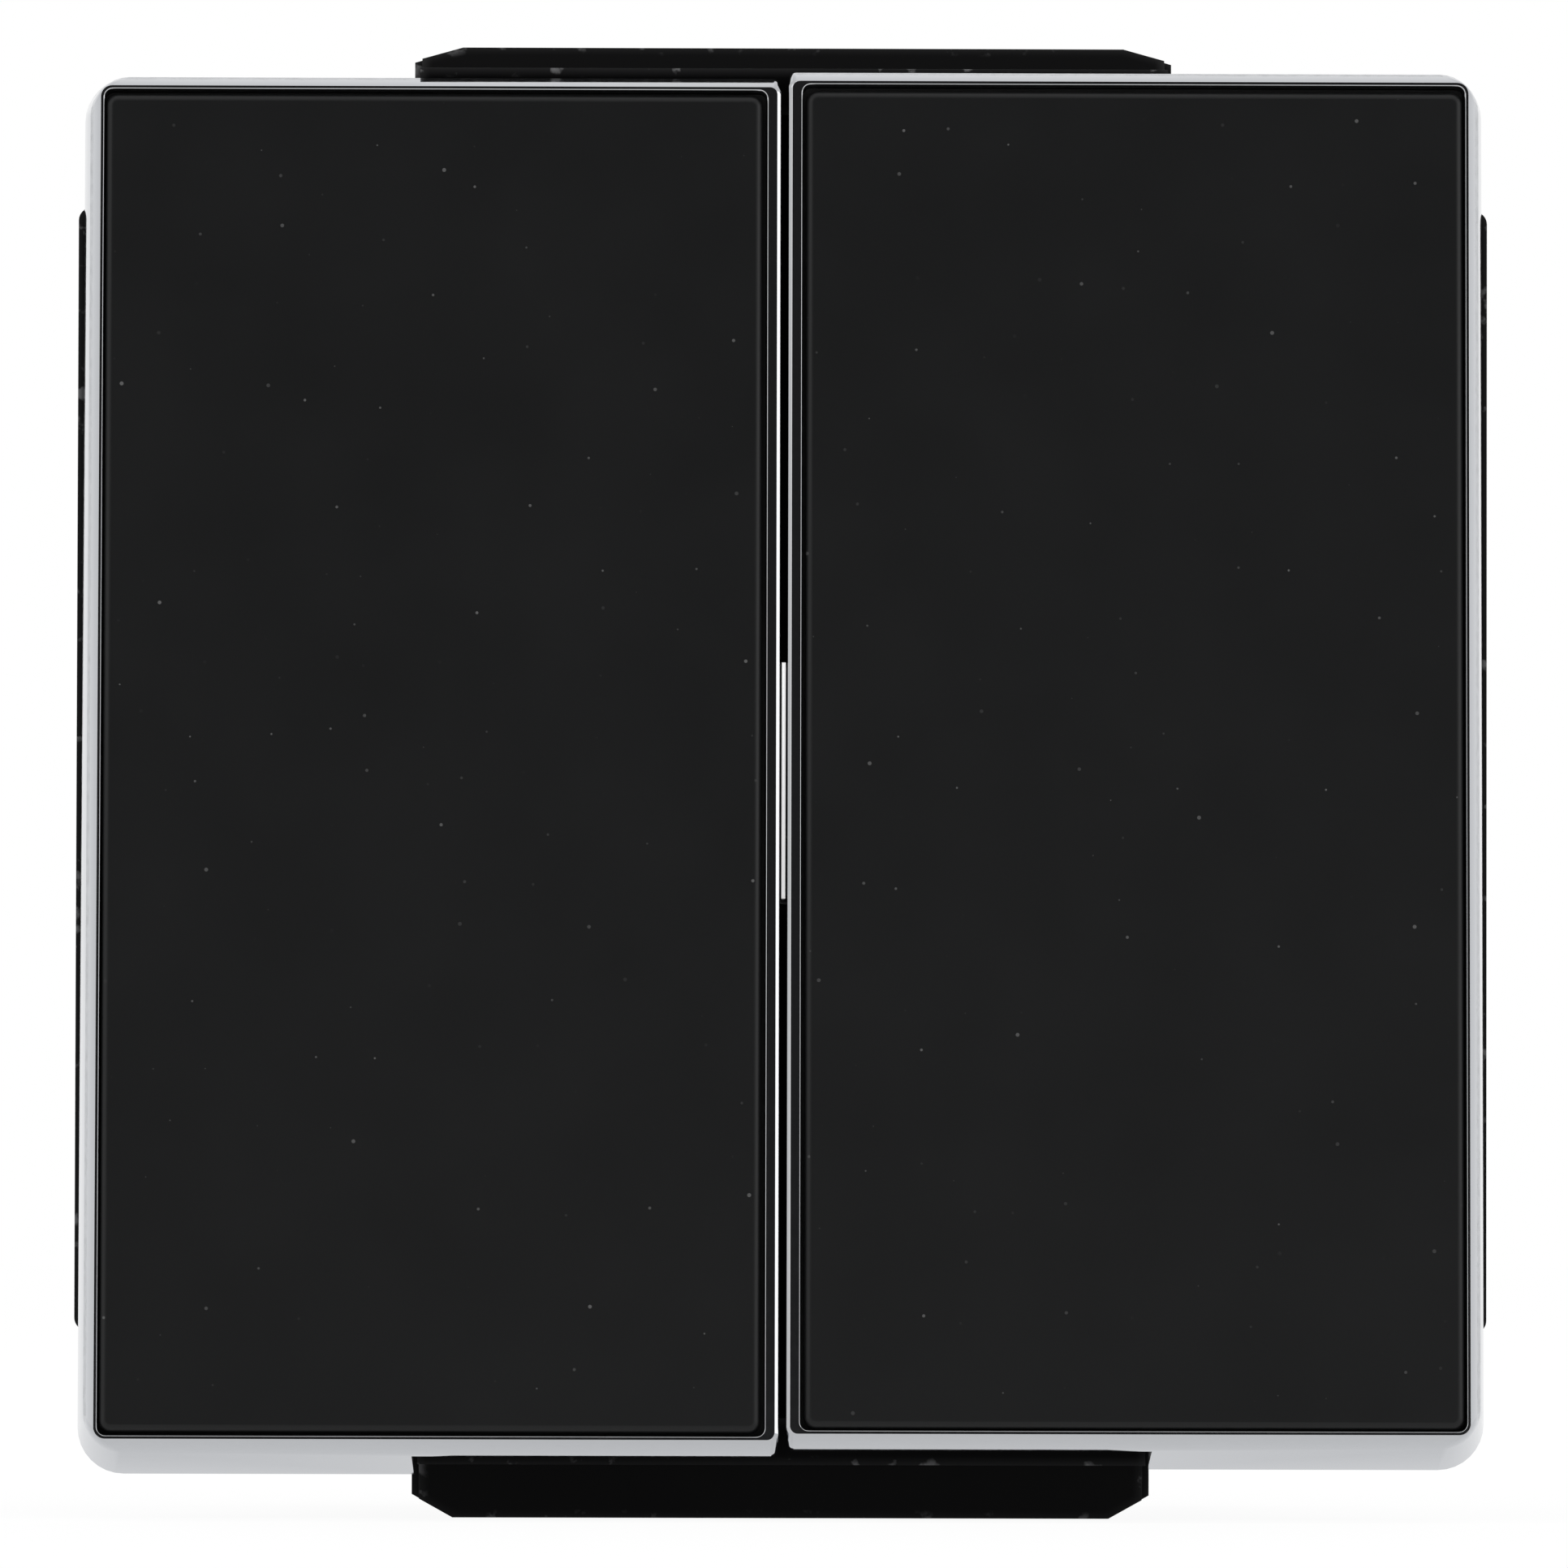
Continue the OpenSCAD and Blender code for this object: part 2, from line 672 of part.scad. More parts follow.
// Web that joins the tower to the outer cheek
module tower_web() {
    block([gang_x, lever_y - EPS, -web_t / 2], [cheek_out_x - EPS, lever_y + web_d, web_t / 2]);
}

// Plunger with a domed tip
module plunger(side) {
    color("ivory") at_rest(side)
        translate([gang_x, plunger_end_y, 0]) rotate([-90, 0, 0])
            rotate_extrude()
                plunger_profile();
}

module plunger_profile() {
    shank = plunger_l - plunger_r;
    square([plunger_r, shank]);
    intersection() {
        translate([0, shank]) circle(r = plunger_r);
        square([plunger_r, plunger_l]);
    }
}

// Coil spring in the tower's bore
module spring(side) {
    sides = 6;
    rings = 8 * spring_turns;
    seat_gap = 0.02;
    rise = spring_l - spring_wire - 2 * seat_gap;
    start = bore_end_y + spring_wire / 2 + seat_gap;
    pitch = rise / spring_turns;
    lean = atan2(pitch, 360 * spring_r * PI / 180);
    points = [
        for (k = [0 : rings])
            let (a = 360 * spring_turns * k / rings, y = start + rise * k / rings)
                for (j = [0 : sides - 1])
                    let (b = 360 * j / sides, r = spring_wire / 2, out = r * cos(b), up = r * sin(b))
                        [gang_x + (spring_r + out) * cos(a) - up * sin(lean) * -sin(a),
                         y + up * cos(lean),
                         (spring_r + out) * sin(a) - up * sin(lean) * cos(a)]
    ];
    walls = [
        for (k = [0 : rings - 1]) for (j = [0 : sides - 1])
            let (a = k * sides + j, b = k * sides + (j + 1) % sides)
                each [[a, b + sides, b], [a, a + sides, b + sides]]
    ];
    first = [for (j = [0 : sides - 1]) j];
    final = [for (j = [sides - 1 : -1 : 0]) rings * sides + j];
    color("silver")
        at_rest(side)
            polyhedron(points, concat([first, final], walls));
}

// Strip that tips between the upper and the lower fixed contact
module contact(side) {
    color("peru") contact_at_rest(side)
        difference() {
            block([gang_x - contact_w / 2, contact_face_y, -contact_l / 2],
                  [gang_x + contact_w / 2, contact_back_y, contact_l / 2]);
            bar_x(0, FAR, contact_pivot_y, 0, knife_r + knife_clear);
        }
}

module contact_rivets(side) {
    color("gainsboro") contact_at_rest(side)
        for (end = [-1, 1])
            bar_y(gang_x, end * rivet_z, contact_back_y, moving_face_y, moving_rivet_r);
}

// Clamp block of a terminal, with its wire bore and the screw's thread, drawn along +Z
module clamp_block() {
    difference() {
        block([-block_w / 2, block_y, block_near], [block_w / 2, block_back_y, block_far]);
        bar_y(0, entry_reach, block_back_y - wire_depth, block_back_y + 1, wire_r);
        translate([0, screw_y, entry_reach]) cylinder(h = FAR, r = screw_r + screw_clear);
    }
}

// Terminal of a fixed contact: its block and the strip that carries the rivet
module way_terminal(side, end) {
    color("goldenrod") on_side(side)
        translate([gang_x, 0, 0])
            mirror([0, 0, end < 0 ? 1 : 0]) {
                clamp_block();
                block([-strip_w / 2, strip_y, rivet_z - fixed_rivet_r - strip_margin],
                      [strip_w / 2, strip_y + strip_t, block_near + EPS]);
            }
}

// Terminal of the common wire, with the knife edge that the contact rocker tips on
module common_terminal(side) {
    knife_x0 = gang_x - knife_w / 2;
    knife_x1 = gang_x + knife_w / 2;
    color("goldenrod") on_side(side) {
        rotate([0, 90, 0]) clamp_block();
        block([knife_x0, strip_y, -strip_w / 2], [block_near + EPS, strip_y + strip_t, strip_w / 2]);
        block([knife_x0, contact_pivot_y, -knife_r], [knife_x1, strip_y + EPS, knife_r]);
        bar_x(knife_x0, knife_x1, contact_pivot_y, 0, knife_r);
    }
}

module fixed_rivets() {
    color("gainsboro")
        for (side = [LEFT, RIGHT], end = [-1, 1])
            bar_y(side * gang_x, end * rivet_z, fixed_face_y, strip_y, fixed_rivet_r);
}

// Slotted clamp screw, drawn along +Z
module clamp_screw() {
    slot_w = 0.6;
    slot_d = 0.8;
    difference() {
        union() {
            translate([0, screw_y, screw_tip]) cylinder(h = screw_head_at - screw_tip + EPS, r = screw_r);
            translate([0, screw_y, screw_head_at]) cylinder(h = screw_head_l, r = screw_head_r);
        }
        block([-screw_head_r - 1, screw_y - slot_w / 2, screw_head_at + screw_head_l - slot_d],
              [screw_head_r + 1, screw_y + slot_w / 2, FAR]);
    }
}

module terminal_screws() {
    color("silver")
        for (side = [LEFT, RIGHT])
            on_side(side) {
                for (end = [0, 1])
                    translate([gang_x, 0, 0]) mirror([0, 0, end]) clamp_screw();
                rotate([0, 90, 0]) clamp_screw();
            }
}

// Frame that carries the rockers, the latches and the box
module support_frame() {
    color([0.06, 0.06, 0.07])
        difference() {
            union() {
                slab(ear_w / 2, ear_h / 2, ear_corner_r, flange_y, 0);
                slab(flange_w / 2, flange_z, flange_corner_r, flange_y, 0);
                frame_latch(-upper_latch_left, upper_latch_right, upper_latch_z, upper_cut_x, upper_cut_z);
                mirror([0, 0, 1])
                    frame_latch(-lower_latch_half, lower_latch_half, lower_latch_z,
                        lower_cut_x, lower_cut_z);
                for (side = [LEFT, RIGHT])
                    on_side(side) {
                        bearing_post(post_inner_x, side);
                        bearing_post(post_outer_x, side);
                        for (end = [-1, 1])
                            stop_pad(end, side);
                        for (end = [0, 1])
                            mirror([0, 0, end]) snap_hook();
                    }
            }
            box_recess();
            for (x = [-1, 0, 1], z = [-1, 0, 1])
                bar_y(x * mark_place, z * mark_place, -mark_d, 1, mark_r);
            for (side = [LEFT, RIGHT])
                translate([side * gang_x, 0, 0]) tower_window();
            guide_slot();
        }
}

// Slot in the flange that the light guide comes through
module guide_slot() {
    x = guide_t / 2 + guide_slot_clear;
    z = guide_l / 2 + guide_slot_clear;
    block([-x, -FAR, -z - guide_drop], [x, FAR, z - guide_drop]);
}

// Recess for the box, kept clear of the snap hooks
module box_recess() {
    half = box_w / 2 + recess_clear;
    difference() {
        slab(half, half, box_corner_r, recess_y, FAR);
        for (side = [LEFT, RIGHT], end = [0, 1])
            on_side(side) mirror([0, 0, end]) snap_hook();
    }
}

module tower_window() {
    block([-window_w / 2, -FAR, -window_w / 2], [window_w / 2, FAR, window_w / 2]);
}

// Wedge latch for the surrounding cover frame, drawn at the top, with cut corners at its tip
module frame_latch(x0, x1, tip_z, cut_x, cut_h) {
    wall_z = latch_wall_span / 2;
    foot_z = wall_z - latch_wall;
    cut_z = tip_z - cut_h;
    back = [[-latch_tip_back, tip_z], [0, wall_z], [0, foot_z]];
    wedge = [
        [-latch_front, foot_z], [-latch_front, wall_z], [-latch_tip_front - latch_lead, wall_z],
        [-latch_tip_front, tip_z]
    ];
    intersection() {
        union() {
            bar_along_x(x0 + latch_inset, x1 - latch_inset, concat(wedge, back));
            bar_along_x(x0, x1, concat([[-latch_wing, foot_z], [-latch_wing, tip_z]], back));
        }
        translate([0, FAR / 2, 0]) rotate([90, 0, 0])
            linear_extrude(FAR)
                polygon([
                    [x0, 0], [x1, 0], [x1, cut_z], [x1 - cut_x, tip_z],
                    [x0 + cut_x, tip_z], [x0, cut_z]
                ]);
    }
}

// Post with the bearing for one journal
module bearing_post(x, side) {
    top_y = pivot_y - bearing_r - post_cap;
    difference() {
        translate([0, 0, pivot_z(side)])
            bar_along_x(x, x + post_t, [
                [flange_y + EPS, -post_foot_half], [pivot_y, -post_top_half], [top_y, -post_top_half],
                [top_y, post_top_half], [pivot_y, post_top_half], [flange_y + EPS, post_foot_half]
            ]);
        bar_x(x - 1, x + post_t + 1, pivot_y, pivot_z(side), bearing_r);
    }
}

module stop_pad(end, side) {
    z = end * (stop_z - stop_h / 2) + pivot_z(side);
    block([stop_x0, stop_y, z - stop_h / 2], [stop_x0 + stop_w, flange_y + EPS, z + stop_h / 2]);
}

// Hook that holds the box, drawn for the upper right corner
module snap_hook() {
    translate([0, 0, hook_z - hook_w / 2])
        linear_extrude(hook_w)
            polygon([
                [hook_x + hook_t, recess_y - EPS], [hook_x + hook_t, hook_end_y], [hook_x, hook_end_y],
                [hook_x - hook_barb, hook_catch_y + hook_land], [hook_x - hook_barb, hook_catch_y],
                [hook_x, hook_catch_y], [hook_x, recess_y - EPS]
            ]);
}

// Room for a hook in the box's side
module hook_groove() {
    half = hook_w / 2 + hook_clear;
    z = [hook_z - half, hook_z + half];
    block([hook_x - hook_clear, -FAR, z[0]], [FAR, hook_end_y + hook_clear, z[1]]);
    block([hook_x - hook_barb - hook_clear, hook_catch_y - hook_clear, z[0]],
          [FAR, hook_end_y + hook_clear, z[1]]);
}

module all_hook_grooves() {
    for (side = [LEFT, RIGHT], end = [0, 1])
        on_side(side) mirror([0, 0, end]) hook_groove();
}

module mechanism_cover() {
    half = box_w / 2;
    color([0.2, 0.2, 0.21])
        difference() {
            slab(half, half, box_corner_r, recess_y, cover_back_y);
            for (side = [LEFT, RIGHT])
                translate([side * gang_x, 0, 0]) tower_window();
            block([-lamp_window_w / 2, -FAR, -lamp_window_h / 2],
                  [lamp_window_w / 2, FAR, lamp_window_h / 2]);
            all_hook_grooves();
        }
}

// Box of the mechanism, open to the front, with one cell for each switch
module mechanism_housing() {
    half = box_w / 2;
    color([0.2, 0.2, 0.21])
        difference() {
            union() {
                difference() {
                    slab(half, half, box_corner_r, cover_back_y, box_back_y);
                    for (side = [LEFT, RIGHT])
                        on_side(side)
                            block([partition_t / 2, -FAR, -cell_x], [cell_x, box_floor_y, cell_x]);
                }
                at_entries() bar_y(0, entry_reach, block_back_y, box_floor_y + EPS, boss_r);
            }
            at_entries() bar_y(0, entry_reach, 0, box_back_y + 1, funnel_r);
            at_entries() funnel_mouth();
            at_entries()
                translate([0, screw_y, cell_x - 1])
                    cylinder(h = FAR, r = screw_head_r + screw_head_clear);
            all_hook_grooves();
            back_panel();
            for (turn = [0 : 90 : 270])
                rotate([0, turn, 0]) grip_grooves();
        }
}

// Cone that leads a wire into its funnel, drawn along +Z
module funnel_mouth() {
    translate([0, panel_y - mouth_d, entry_reach]) rotate([-90, 0, 0])
        cylinder(h = mouth_d + EPS, r1 = funnel_r, r2 = mouth_r);
}

// Sunk panel in the housing's back, with the gauge for stripping wires
module back_panel() {
    half = box_w / 2 - panel_border;
    slab(half, half, box_corner_r - panel_border / 2, panel_y, FAR);
    block([-gauge_w / 2, panel_y - panel_d, -gauge_l / 2], [gauge_w / 2, FAR, gauge_l / 2]);
}

// Grip grooves in one side of the housing, drawn in its top
module grip_grooves() {
    for (x = grip_x)
        block([x - grip_w / 2, grip_y[0], box_w / 2 - grip_d], [x + grip_w / 2, grip_y[1], FAR]);
}

// Repeats a shape that is drawn along +Z at each of the six terminals
module at_entries() {
    for (side = [LEFT, RIGHT])
        on_side(side) {
            for (end = [0, 1])
                translate([gang_x, 0, 0]) mirror([0, 0, end]) children();
            rotate([0, 90, 0]) children();
        }
}

// White light guide: foot, blade and the thin tip that shows between the rims
module light_guide() {
    tip_y = rim_y + guide_sink;
    thin_y = tray_y + guide_shoulder_clear;
    thick_y = thin_y + guide_shoulder_d;
    foot_half = guide_foot_w / 2;
    color("white") translate([0, 0, -guide_drop]) {
        translate([0, 0, -guide_l / 2])
            linear_extrude(guide_l)
                polygon([
                    [guide_tip_t / 2, tip_y], [guide_tip_t / 2, thin_y], [guide_t / 2, thick_y],
                    [guide_t / 2, recess_y + EPS], [-guide_t / 2, recess_y + EPS], [-guide_t / 2, thick_y],
                    [-guide_tip_t / 2, thin_y], [-guide_tip_t / 2, tip_y]
                ]);
        block([-foot_half, recess_y, -guide_foot_l / 2],
              [foot_half, recess_y + guide_foot_t, guide_foot_l / 2]);
    }
}

module lamp_board() {
    color("darkgreen")
        block([-board_w / 2, board_y, -board_h / 2], [board_w / 2, cover_back_y, board_h / 2]);
}

module locator_lamp() {
    color("lightyellow")
        block([-lamp_w / 2, lamp_y, -lamp_w / 2], [lamp_w / 2, board_y, lamp_w / 2]);
}

support_frame();
mechanism_cover();
mechanism_housing();
light_guide();
lamp_board();
locator_lamp();
common_terminal(LEFT);  // left_common_terminal
way_terminal(LEFT, 1);  // left_upper_terminal
way_terminal(LEFT, -1);  // left_lower_terminal
common_terminal(RIGHT);  // right_common_terminal
way_terminal(RIGHT, 1);  // right_upper_terminal
way_terminal(RIGHT, -1);  // right_lower_terminal
fixed_rivets();
terminal_screws();
bezel(LEFT);  // left_bezel
insert(LEFT);  // left_insert
film(LEFT);  // left_film
lever(LEFT);  // left_lever
spring(LEFT);  // left_spring
plunger(LEFT);  // left_plunger
bezel(RIGHT);  // right_bezel
insert(RIGHT);  // right_insert
film(RIGHT);  // right_film
lever(RIGHT);  // right_lever
spring(RIGHT);  // right_spring
plunger(RIGHT);  // right_plunger
contact(LEFT);  // left_contact
contact_rivets(LEFT);  // left_contact_rivets
contact(RIGHT);  // right_contact
contact_rivets(RIGHT);  // right_contact_rivets
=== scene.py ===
"""Finish, stage and camera of a double rocker wall switch."""

import json
import math

import bmesh
import bpy
from bpy.props import FloatProperty, FloatVectorProperty, IntProperty, PointerProperty
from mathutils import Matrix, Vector


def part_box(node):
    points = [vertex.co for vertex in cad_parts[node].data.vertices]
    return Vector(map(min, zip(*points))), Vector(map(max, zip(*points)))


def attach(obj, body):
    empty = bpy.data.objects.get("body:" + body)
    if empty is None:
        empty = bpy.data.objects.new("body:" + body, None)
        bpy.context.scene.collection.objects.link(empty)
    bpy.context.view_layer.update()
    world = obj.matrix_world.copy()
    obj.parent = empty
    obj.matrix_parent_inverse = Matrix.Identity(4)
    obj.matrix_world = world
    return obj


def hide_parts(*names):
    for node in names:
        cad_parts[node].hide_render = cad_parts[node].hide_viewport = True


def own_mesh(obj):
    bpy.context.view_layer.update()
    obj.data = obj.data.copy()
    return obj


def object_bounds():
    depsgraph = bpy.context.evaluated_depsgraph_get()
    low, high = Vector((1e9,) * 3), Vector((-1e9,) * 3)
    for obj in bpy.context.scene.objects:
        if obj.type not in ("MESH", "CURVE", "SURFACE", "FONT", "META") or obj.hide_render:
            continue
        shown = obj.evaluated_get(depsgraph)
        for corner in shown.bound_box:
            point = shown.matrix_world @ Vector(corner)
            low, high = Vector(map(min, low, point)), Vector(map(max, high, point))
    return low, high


bl_info = {
    "name": "Double Rocker Wall Switch",
    "version": (1, 0, 0),
    "blender": (4, 5, 0),
    "location": "View3D > Sidebar > Wall Switch",
    "description": "Dresses the switch's solids in chrome, soft black and moulded plastic, and lights them",
    "category": "Object",
}

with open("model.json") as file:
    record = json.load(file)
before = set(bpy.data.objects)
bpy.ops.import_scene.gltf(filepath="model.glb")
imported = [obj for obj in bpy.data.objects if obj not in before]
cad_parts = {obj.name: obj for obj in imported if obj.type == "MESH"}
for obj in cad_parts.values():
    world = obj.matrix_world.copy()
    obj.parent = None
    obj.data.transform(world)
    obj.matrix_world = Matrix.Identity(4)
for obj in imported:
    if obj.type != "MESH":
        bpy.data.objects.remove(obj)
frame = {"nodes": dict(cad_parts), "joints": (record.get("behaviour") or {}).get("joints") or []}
NODES = frame["nodes"]
CAD_BOX = [list(corner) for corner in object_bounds()]
SIDES = ("left", "right")
MM = 0.001

# The photograph's frame in pixels, and the width of the camera's sensor in millimetres
FRAME_PX = 1932
SENSOR_MM = 36.0

# How a solid's mesh is joined and flattened, which edges are rounded, and how its normals are weighed
WELD_REACH = 0.0005 * MM
FLAT_ANGLE = math.radians(0.3)
SHARP_ANGLE = math.radians(28)
NORMAL_WEIGHT = 90

# The closed part at each end of a spring, in turns and as a share of its length
CLOSED_TURNS = 0.75
CLOSED_RISE = 0.08

# Noise seldom leaves this band, so the band is spread over the whole range of a finish
NOISE_LOW = 0.3
NOISE_HIGH = 0.7

# Depth of the light guide's tip that glows, partly with the lamp's light and partly with painted light
GLOWING_TIP = 0.02 * MM

# Half the floor's side, and each lamp's place and side, in metres
FLOOR_HALF = 3.0
LAMPS = {
    "left": ((-0.65, -0.5, 0.3), 0.6),
    "right": ((0.75, -0.35, 0.15), 0.6),
    "top": ((0.0, -0.15, 0.8), 0.8),
}


def colour_property(name, description, default):
    """A linear colour without alpha."""
    return FloatVectorProperty(
        name=name, description=description, default=default, size=3, min=0.0, max=1.0, subtype="COLOR"
    )


def length_property(name, description, default):
    """A length in metres, given in millimetres."""
    return FloatProperty(
        name=name, description=description, default=default * MM, precision=6, unit="LENGTH"
    )


def angle_property(name, description, default):
    """An angle in radians."""
    return FloatProperty(name=name, description=description, default=default, precision=5, subtype="ANGLE")


def share_property(name, description, default):
    """A plain share from 0 to 1."""
    return FloatProperty(name=name, description=description, default=default, min=0.0, max=1.0)


def power_property(name, description, default):
    """The power of a lamp in watts."""
    return FloatProperty(name=name, description=description, default=default, unit="POWER")


class SwitchFinishes(bpy.types.PropertyGroup):
    """Colours and roughness of the switch's surfaces."""

    chrome: colour_property("Chrome", "Plating of the rocker trays", (0.47, 0.477, 0.49))
    chrome_edge: colour_property("Chrome, edge on", "Tint of the plating seen edge on", (0.84, 0.85, 0.87))
    chrome_roughness: share_property("Chrome roughness", "Roughness of the plating", 0.07)
    insert: colour_property("Insert", "Soft black of the inserts", (0.0108, 0.0112, 0.0116))
    dust: colour_property("Dust", "Specks of dust on the inserts", (0.15, 0.15, 0.15))
    frame: colour_property("Support frame", "Satin black of the frame", (0.0036, 0.0036, 0.0038))
    # Paler frame edges: partly scuffs, partly a painted highlight standing in for light caught on the edges
    frame_edge_wear_and_highlight: colour_property("Frame edges", "Rubbed edges of the frame", (0.28, 0.28, 0.285))
    lever: colour_property("Levers", "Matt black of the levers", (0.018, 0.018, 0.019))
    box: colour_property("Mechanism box", "Dark grey of the box and its cover", (0.16, 0.16, 0.17))
    guide: colour_property("Light guide", "Frosted white of the light guide", (0.9, 0.9, 0.91))
    # The guide's glow: partly the lamp's light, partly painted light lifting the tip out of the narrow
    # slit's shade
    guide_glow_and_painted_light: FloatProperty(
        name="Glow", description="Light that leaves the guide's tip", default=0.6, min=0.0
    )
    plunger: colour_property("Plungers", "White of the plungers", (0.85, 0.84, 0.8))
    film: colour_property("Film", "Black of the adhesive film", (0.012, 0.012, 0.012))
    board: colour_property("Lamp board", "Green of the lamp's board", (0.03, 0.16, 0.07))
    brass: colour_property("Brass", "Stamped terminals", (0.78, 0.6, 0.3))
    copper: colour_property("Copper", "Tipping contact strips", (0.76, 0.44, 0.3))
    silver: colour_property("Silver", "Contact rivets", (0.86, 0.85, 0.82))
    steel: colour_property("Steel", "Screws and springs", (0.62, 0.62, 0.63))


class SwitchEdges(bpy.types.PropertyGroup):
    """Radii of the edges of the switch's pieces."""

    tray: length_property("Tray", "Edge radius of the plated trays", 0.018)
    frame: length_property("Support frame", "Edge radius of the frame", 0.12)
    box: length_property("Mechanism box", "Edge radius of the box", 0.25)
    small: length_property("Small pieces", "Edge radius of the small pieces", 0.06)


class SwitchSprings(bpy.types.PropertyGroup):
    """Sizes of the plunger springs."""

    length: length_property("Length", "Length at rest", 3.56)
    radius: length_property("Radius", "Radius to the middle of the wire", 1.15)
    wire: length_property("Wire", "Diameter of the wire", 0.3)
    turns: IntProperty(name="Turns", description="Turns of each spring", default=5, min=3)


class SwitchStage(bpy.types.PropertyGroup):
    """Camera, floor, dark card and light."""

    camera_distance: length_property("Distance", "Camera to the plane of the frame's seat", 510.75)
    camera_x: length_property("Camera X", "Camera to the right of the middle", -3.97)
    camera_z: length_property("Camera Z", "Camera above the middle", -17.7)
    camera_pitch: angle_property("Pitch", "Camera turned upwards", 0.0337)
    camera_yaw: angle_property("Yaw", "Camera turned to the left", -0.00805)
    camera_roll: angle_property("Roll", "Camera turned clockwise", -0.0024)
    focal_px: FloatProperty(name="Focal length", description="In pixels of the photograph", default=16010.0)
    floor: colour_property("Floor", "Pale floor as it is seen", (0.95, 0.95, 0.95))
    floor_bounce: colour_property("Floor bounce", "Light that the floor throws back", (0.6, 0.6, 0.6))
    floor_white: share_property("Floor white", "Share of plain white in the floor as it is seen", 0.9)
    floor_light: FloatProperty(
        name="Floor light",
        description="Strength of that white, which makes the lit floor plain white",
        default=1.04,
    )
    card: colour_property("Front card", "Dark card behind the camera", (0.012, 0.012, 0.013))
    card_half: length_property("Card half side", "Half the side of the dark card", 550.0)
    card_distance: length_property("Card distance", "Dark card to the plane of the frame's seat", 800.0)
    ambient: FloatProperty(name="Ambient", description="Light from all round", default=0.62, min=0.0)
    left: power_property("Left lamp", "Power of the left lamp", 0.7)
    right: power_property("Right lamp", "Power of the right lamp", 1.3)
    top: power_property("Top lamp", "Power of the top lamp", 0.55)


def finishes():
    return bpy.context.scene.switch_finishes


def edges():
    return bpy.context.scene.switch_edges


def stage_settings():
    return bpy.context.scene.switch_stage


# Shader node groups


def new_group(name, inputs, outputs):
    """An empty group with float sockets: inputs is {name: default}, outputs is a list of names."""
    group = bpy.data.node_groups.new(name, "ShaderNodeTree")
    for socket, default in inputs.items():
        made = group.interface.new_socket(socket, in_out="INPUT", socket_type="NodeSocketFloat")
        made.default_value = default
    for socket in outputs:
        group.interface.new_socket(socket, in_out="OUTPUT", socket_type="NodeSocketFloat")
    return group, group.nodes.new("NodeGroupInput"), group.nodes.new("NodeGroupOutput")


def math_node(tree, operation, first, second=None, clamp=False):
    """A Math node whose inputs are sockets or plain numbers; returns its output."""
    node = tree.nodes.new("ShaderNodeMath")
    node.operation = operation
    node.use_clamp = clamp
    for socket, value in zip(node.inputs, (first, second)):
        if isinstance(value, bpy.types.NodeSocket):
            tree.links.new(value, socket)
        elif value is not None:
            socket.default_value = value
    return node.outputs[0]


def noise(tree, scale, detail=2.0, vector=None):
    """Noise over the piece's own coordinates, its scale a socket; returns its value."""
    node = tree.nodes.new("ShaderNodeTexNoise")
    node.inputs["Detail"].default_value = detail
    tree.links.new(scale, node.inputs["Scale"])
    tree.links.new(vector or own_coordinates(tree), node.inputs["Vector"])
    return node.outputs["Fac"]


def own_coordinates(tree):
    return tree.nodes.new("ShaderNodeTexCoord").outputs["Object"]


def build_moulded_grain():
    """Fine grain of moulded plastic, with a slow variation over it."""
    fine_share = 0.35
    group, inputs, outputs = new_group(
        "Moulded Grain", {"Grain per metre": 9000.0, "Patches per metre": 180.0}, ["Height", "Variation"]
    )
    fine = noise(group, inputs.outputs["Grain per metre"], detail=3.0)
    slow = noise(group, inputs.outputs["Patches per metre"], detail=4.0)
    fine_part = math_node(group, "MULTIPLY", fine, fine_share)
    slow_part = math_node(group, "MULTIPLY", slow, 1.0 - fine_share)
    group.links.new(fine, outputs.inputs["Height"])
    group.links.new(math_node(group, "ADD", fine_part, slow_part), outputs.inputs["Variation"])
    return group


def build_dust_specks():
    """Specks of dust on the front: a share of the cells hold one of its own size, and most are faint."""
    group, inputs, outputs = new_group(
        "Dust Specks", {"Cells per metre": 480.0, "Share": 0.75, "Size": 0.036, "Faintness": 2.0}, ["Mask"]
    )
    place = group.nodes.new("ShaderNodeSeparateXYZ")
    front = group.nodes.new("ShaderNodeCombineXYZ")
    group.links.new(own_coordinates(group), place.inputs["Vector"])
    group.links.new(place.outputs["X"], front.inputs["X"])
    group.links.new(place.outputs["Z"], front.inputs["Y"])
    cells = group.nodes.new("ShaderNodeTexVoronoi")
    cells.voronoi_dimensions = "2D"
    group.links.new(front.outputs["Vector"], cells.inputs["Vector"])
    group.links.new(inputs.outputs["Cells per metre"], cells.inputs["Scale"])
    chance = group.nodes.new("ShaderNodeSeparateColor")
    group.links.new(cells.outputs["Color"], chance.inputs["Color"])
    chosen = math_node(group, "LESS_THAN", chance.outputs["Red"], inputs.outputs["Share"])
    size = math_node(group, "MULTIPLY", chance.outputs["Green"], inputs.outputs["Size"])
    inside = math_node(group, "LESS_THAN", cells.outputs["Distance"], size)
    strength = math_node(group, "POWER", chance.outputs["Blue"], inputs.outputs["Faintness"])
    speck = math_node(group, "MULTIPLY", chosen, inside)
    group.links.new(math_node(group, "MULTIPLY", speck, strength), outputs.inputs["Mask"])
    return group


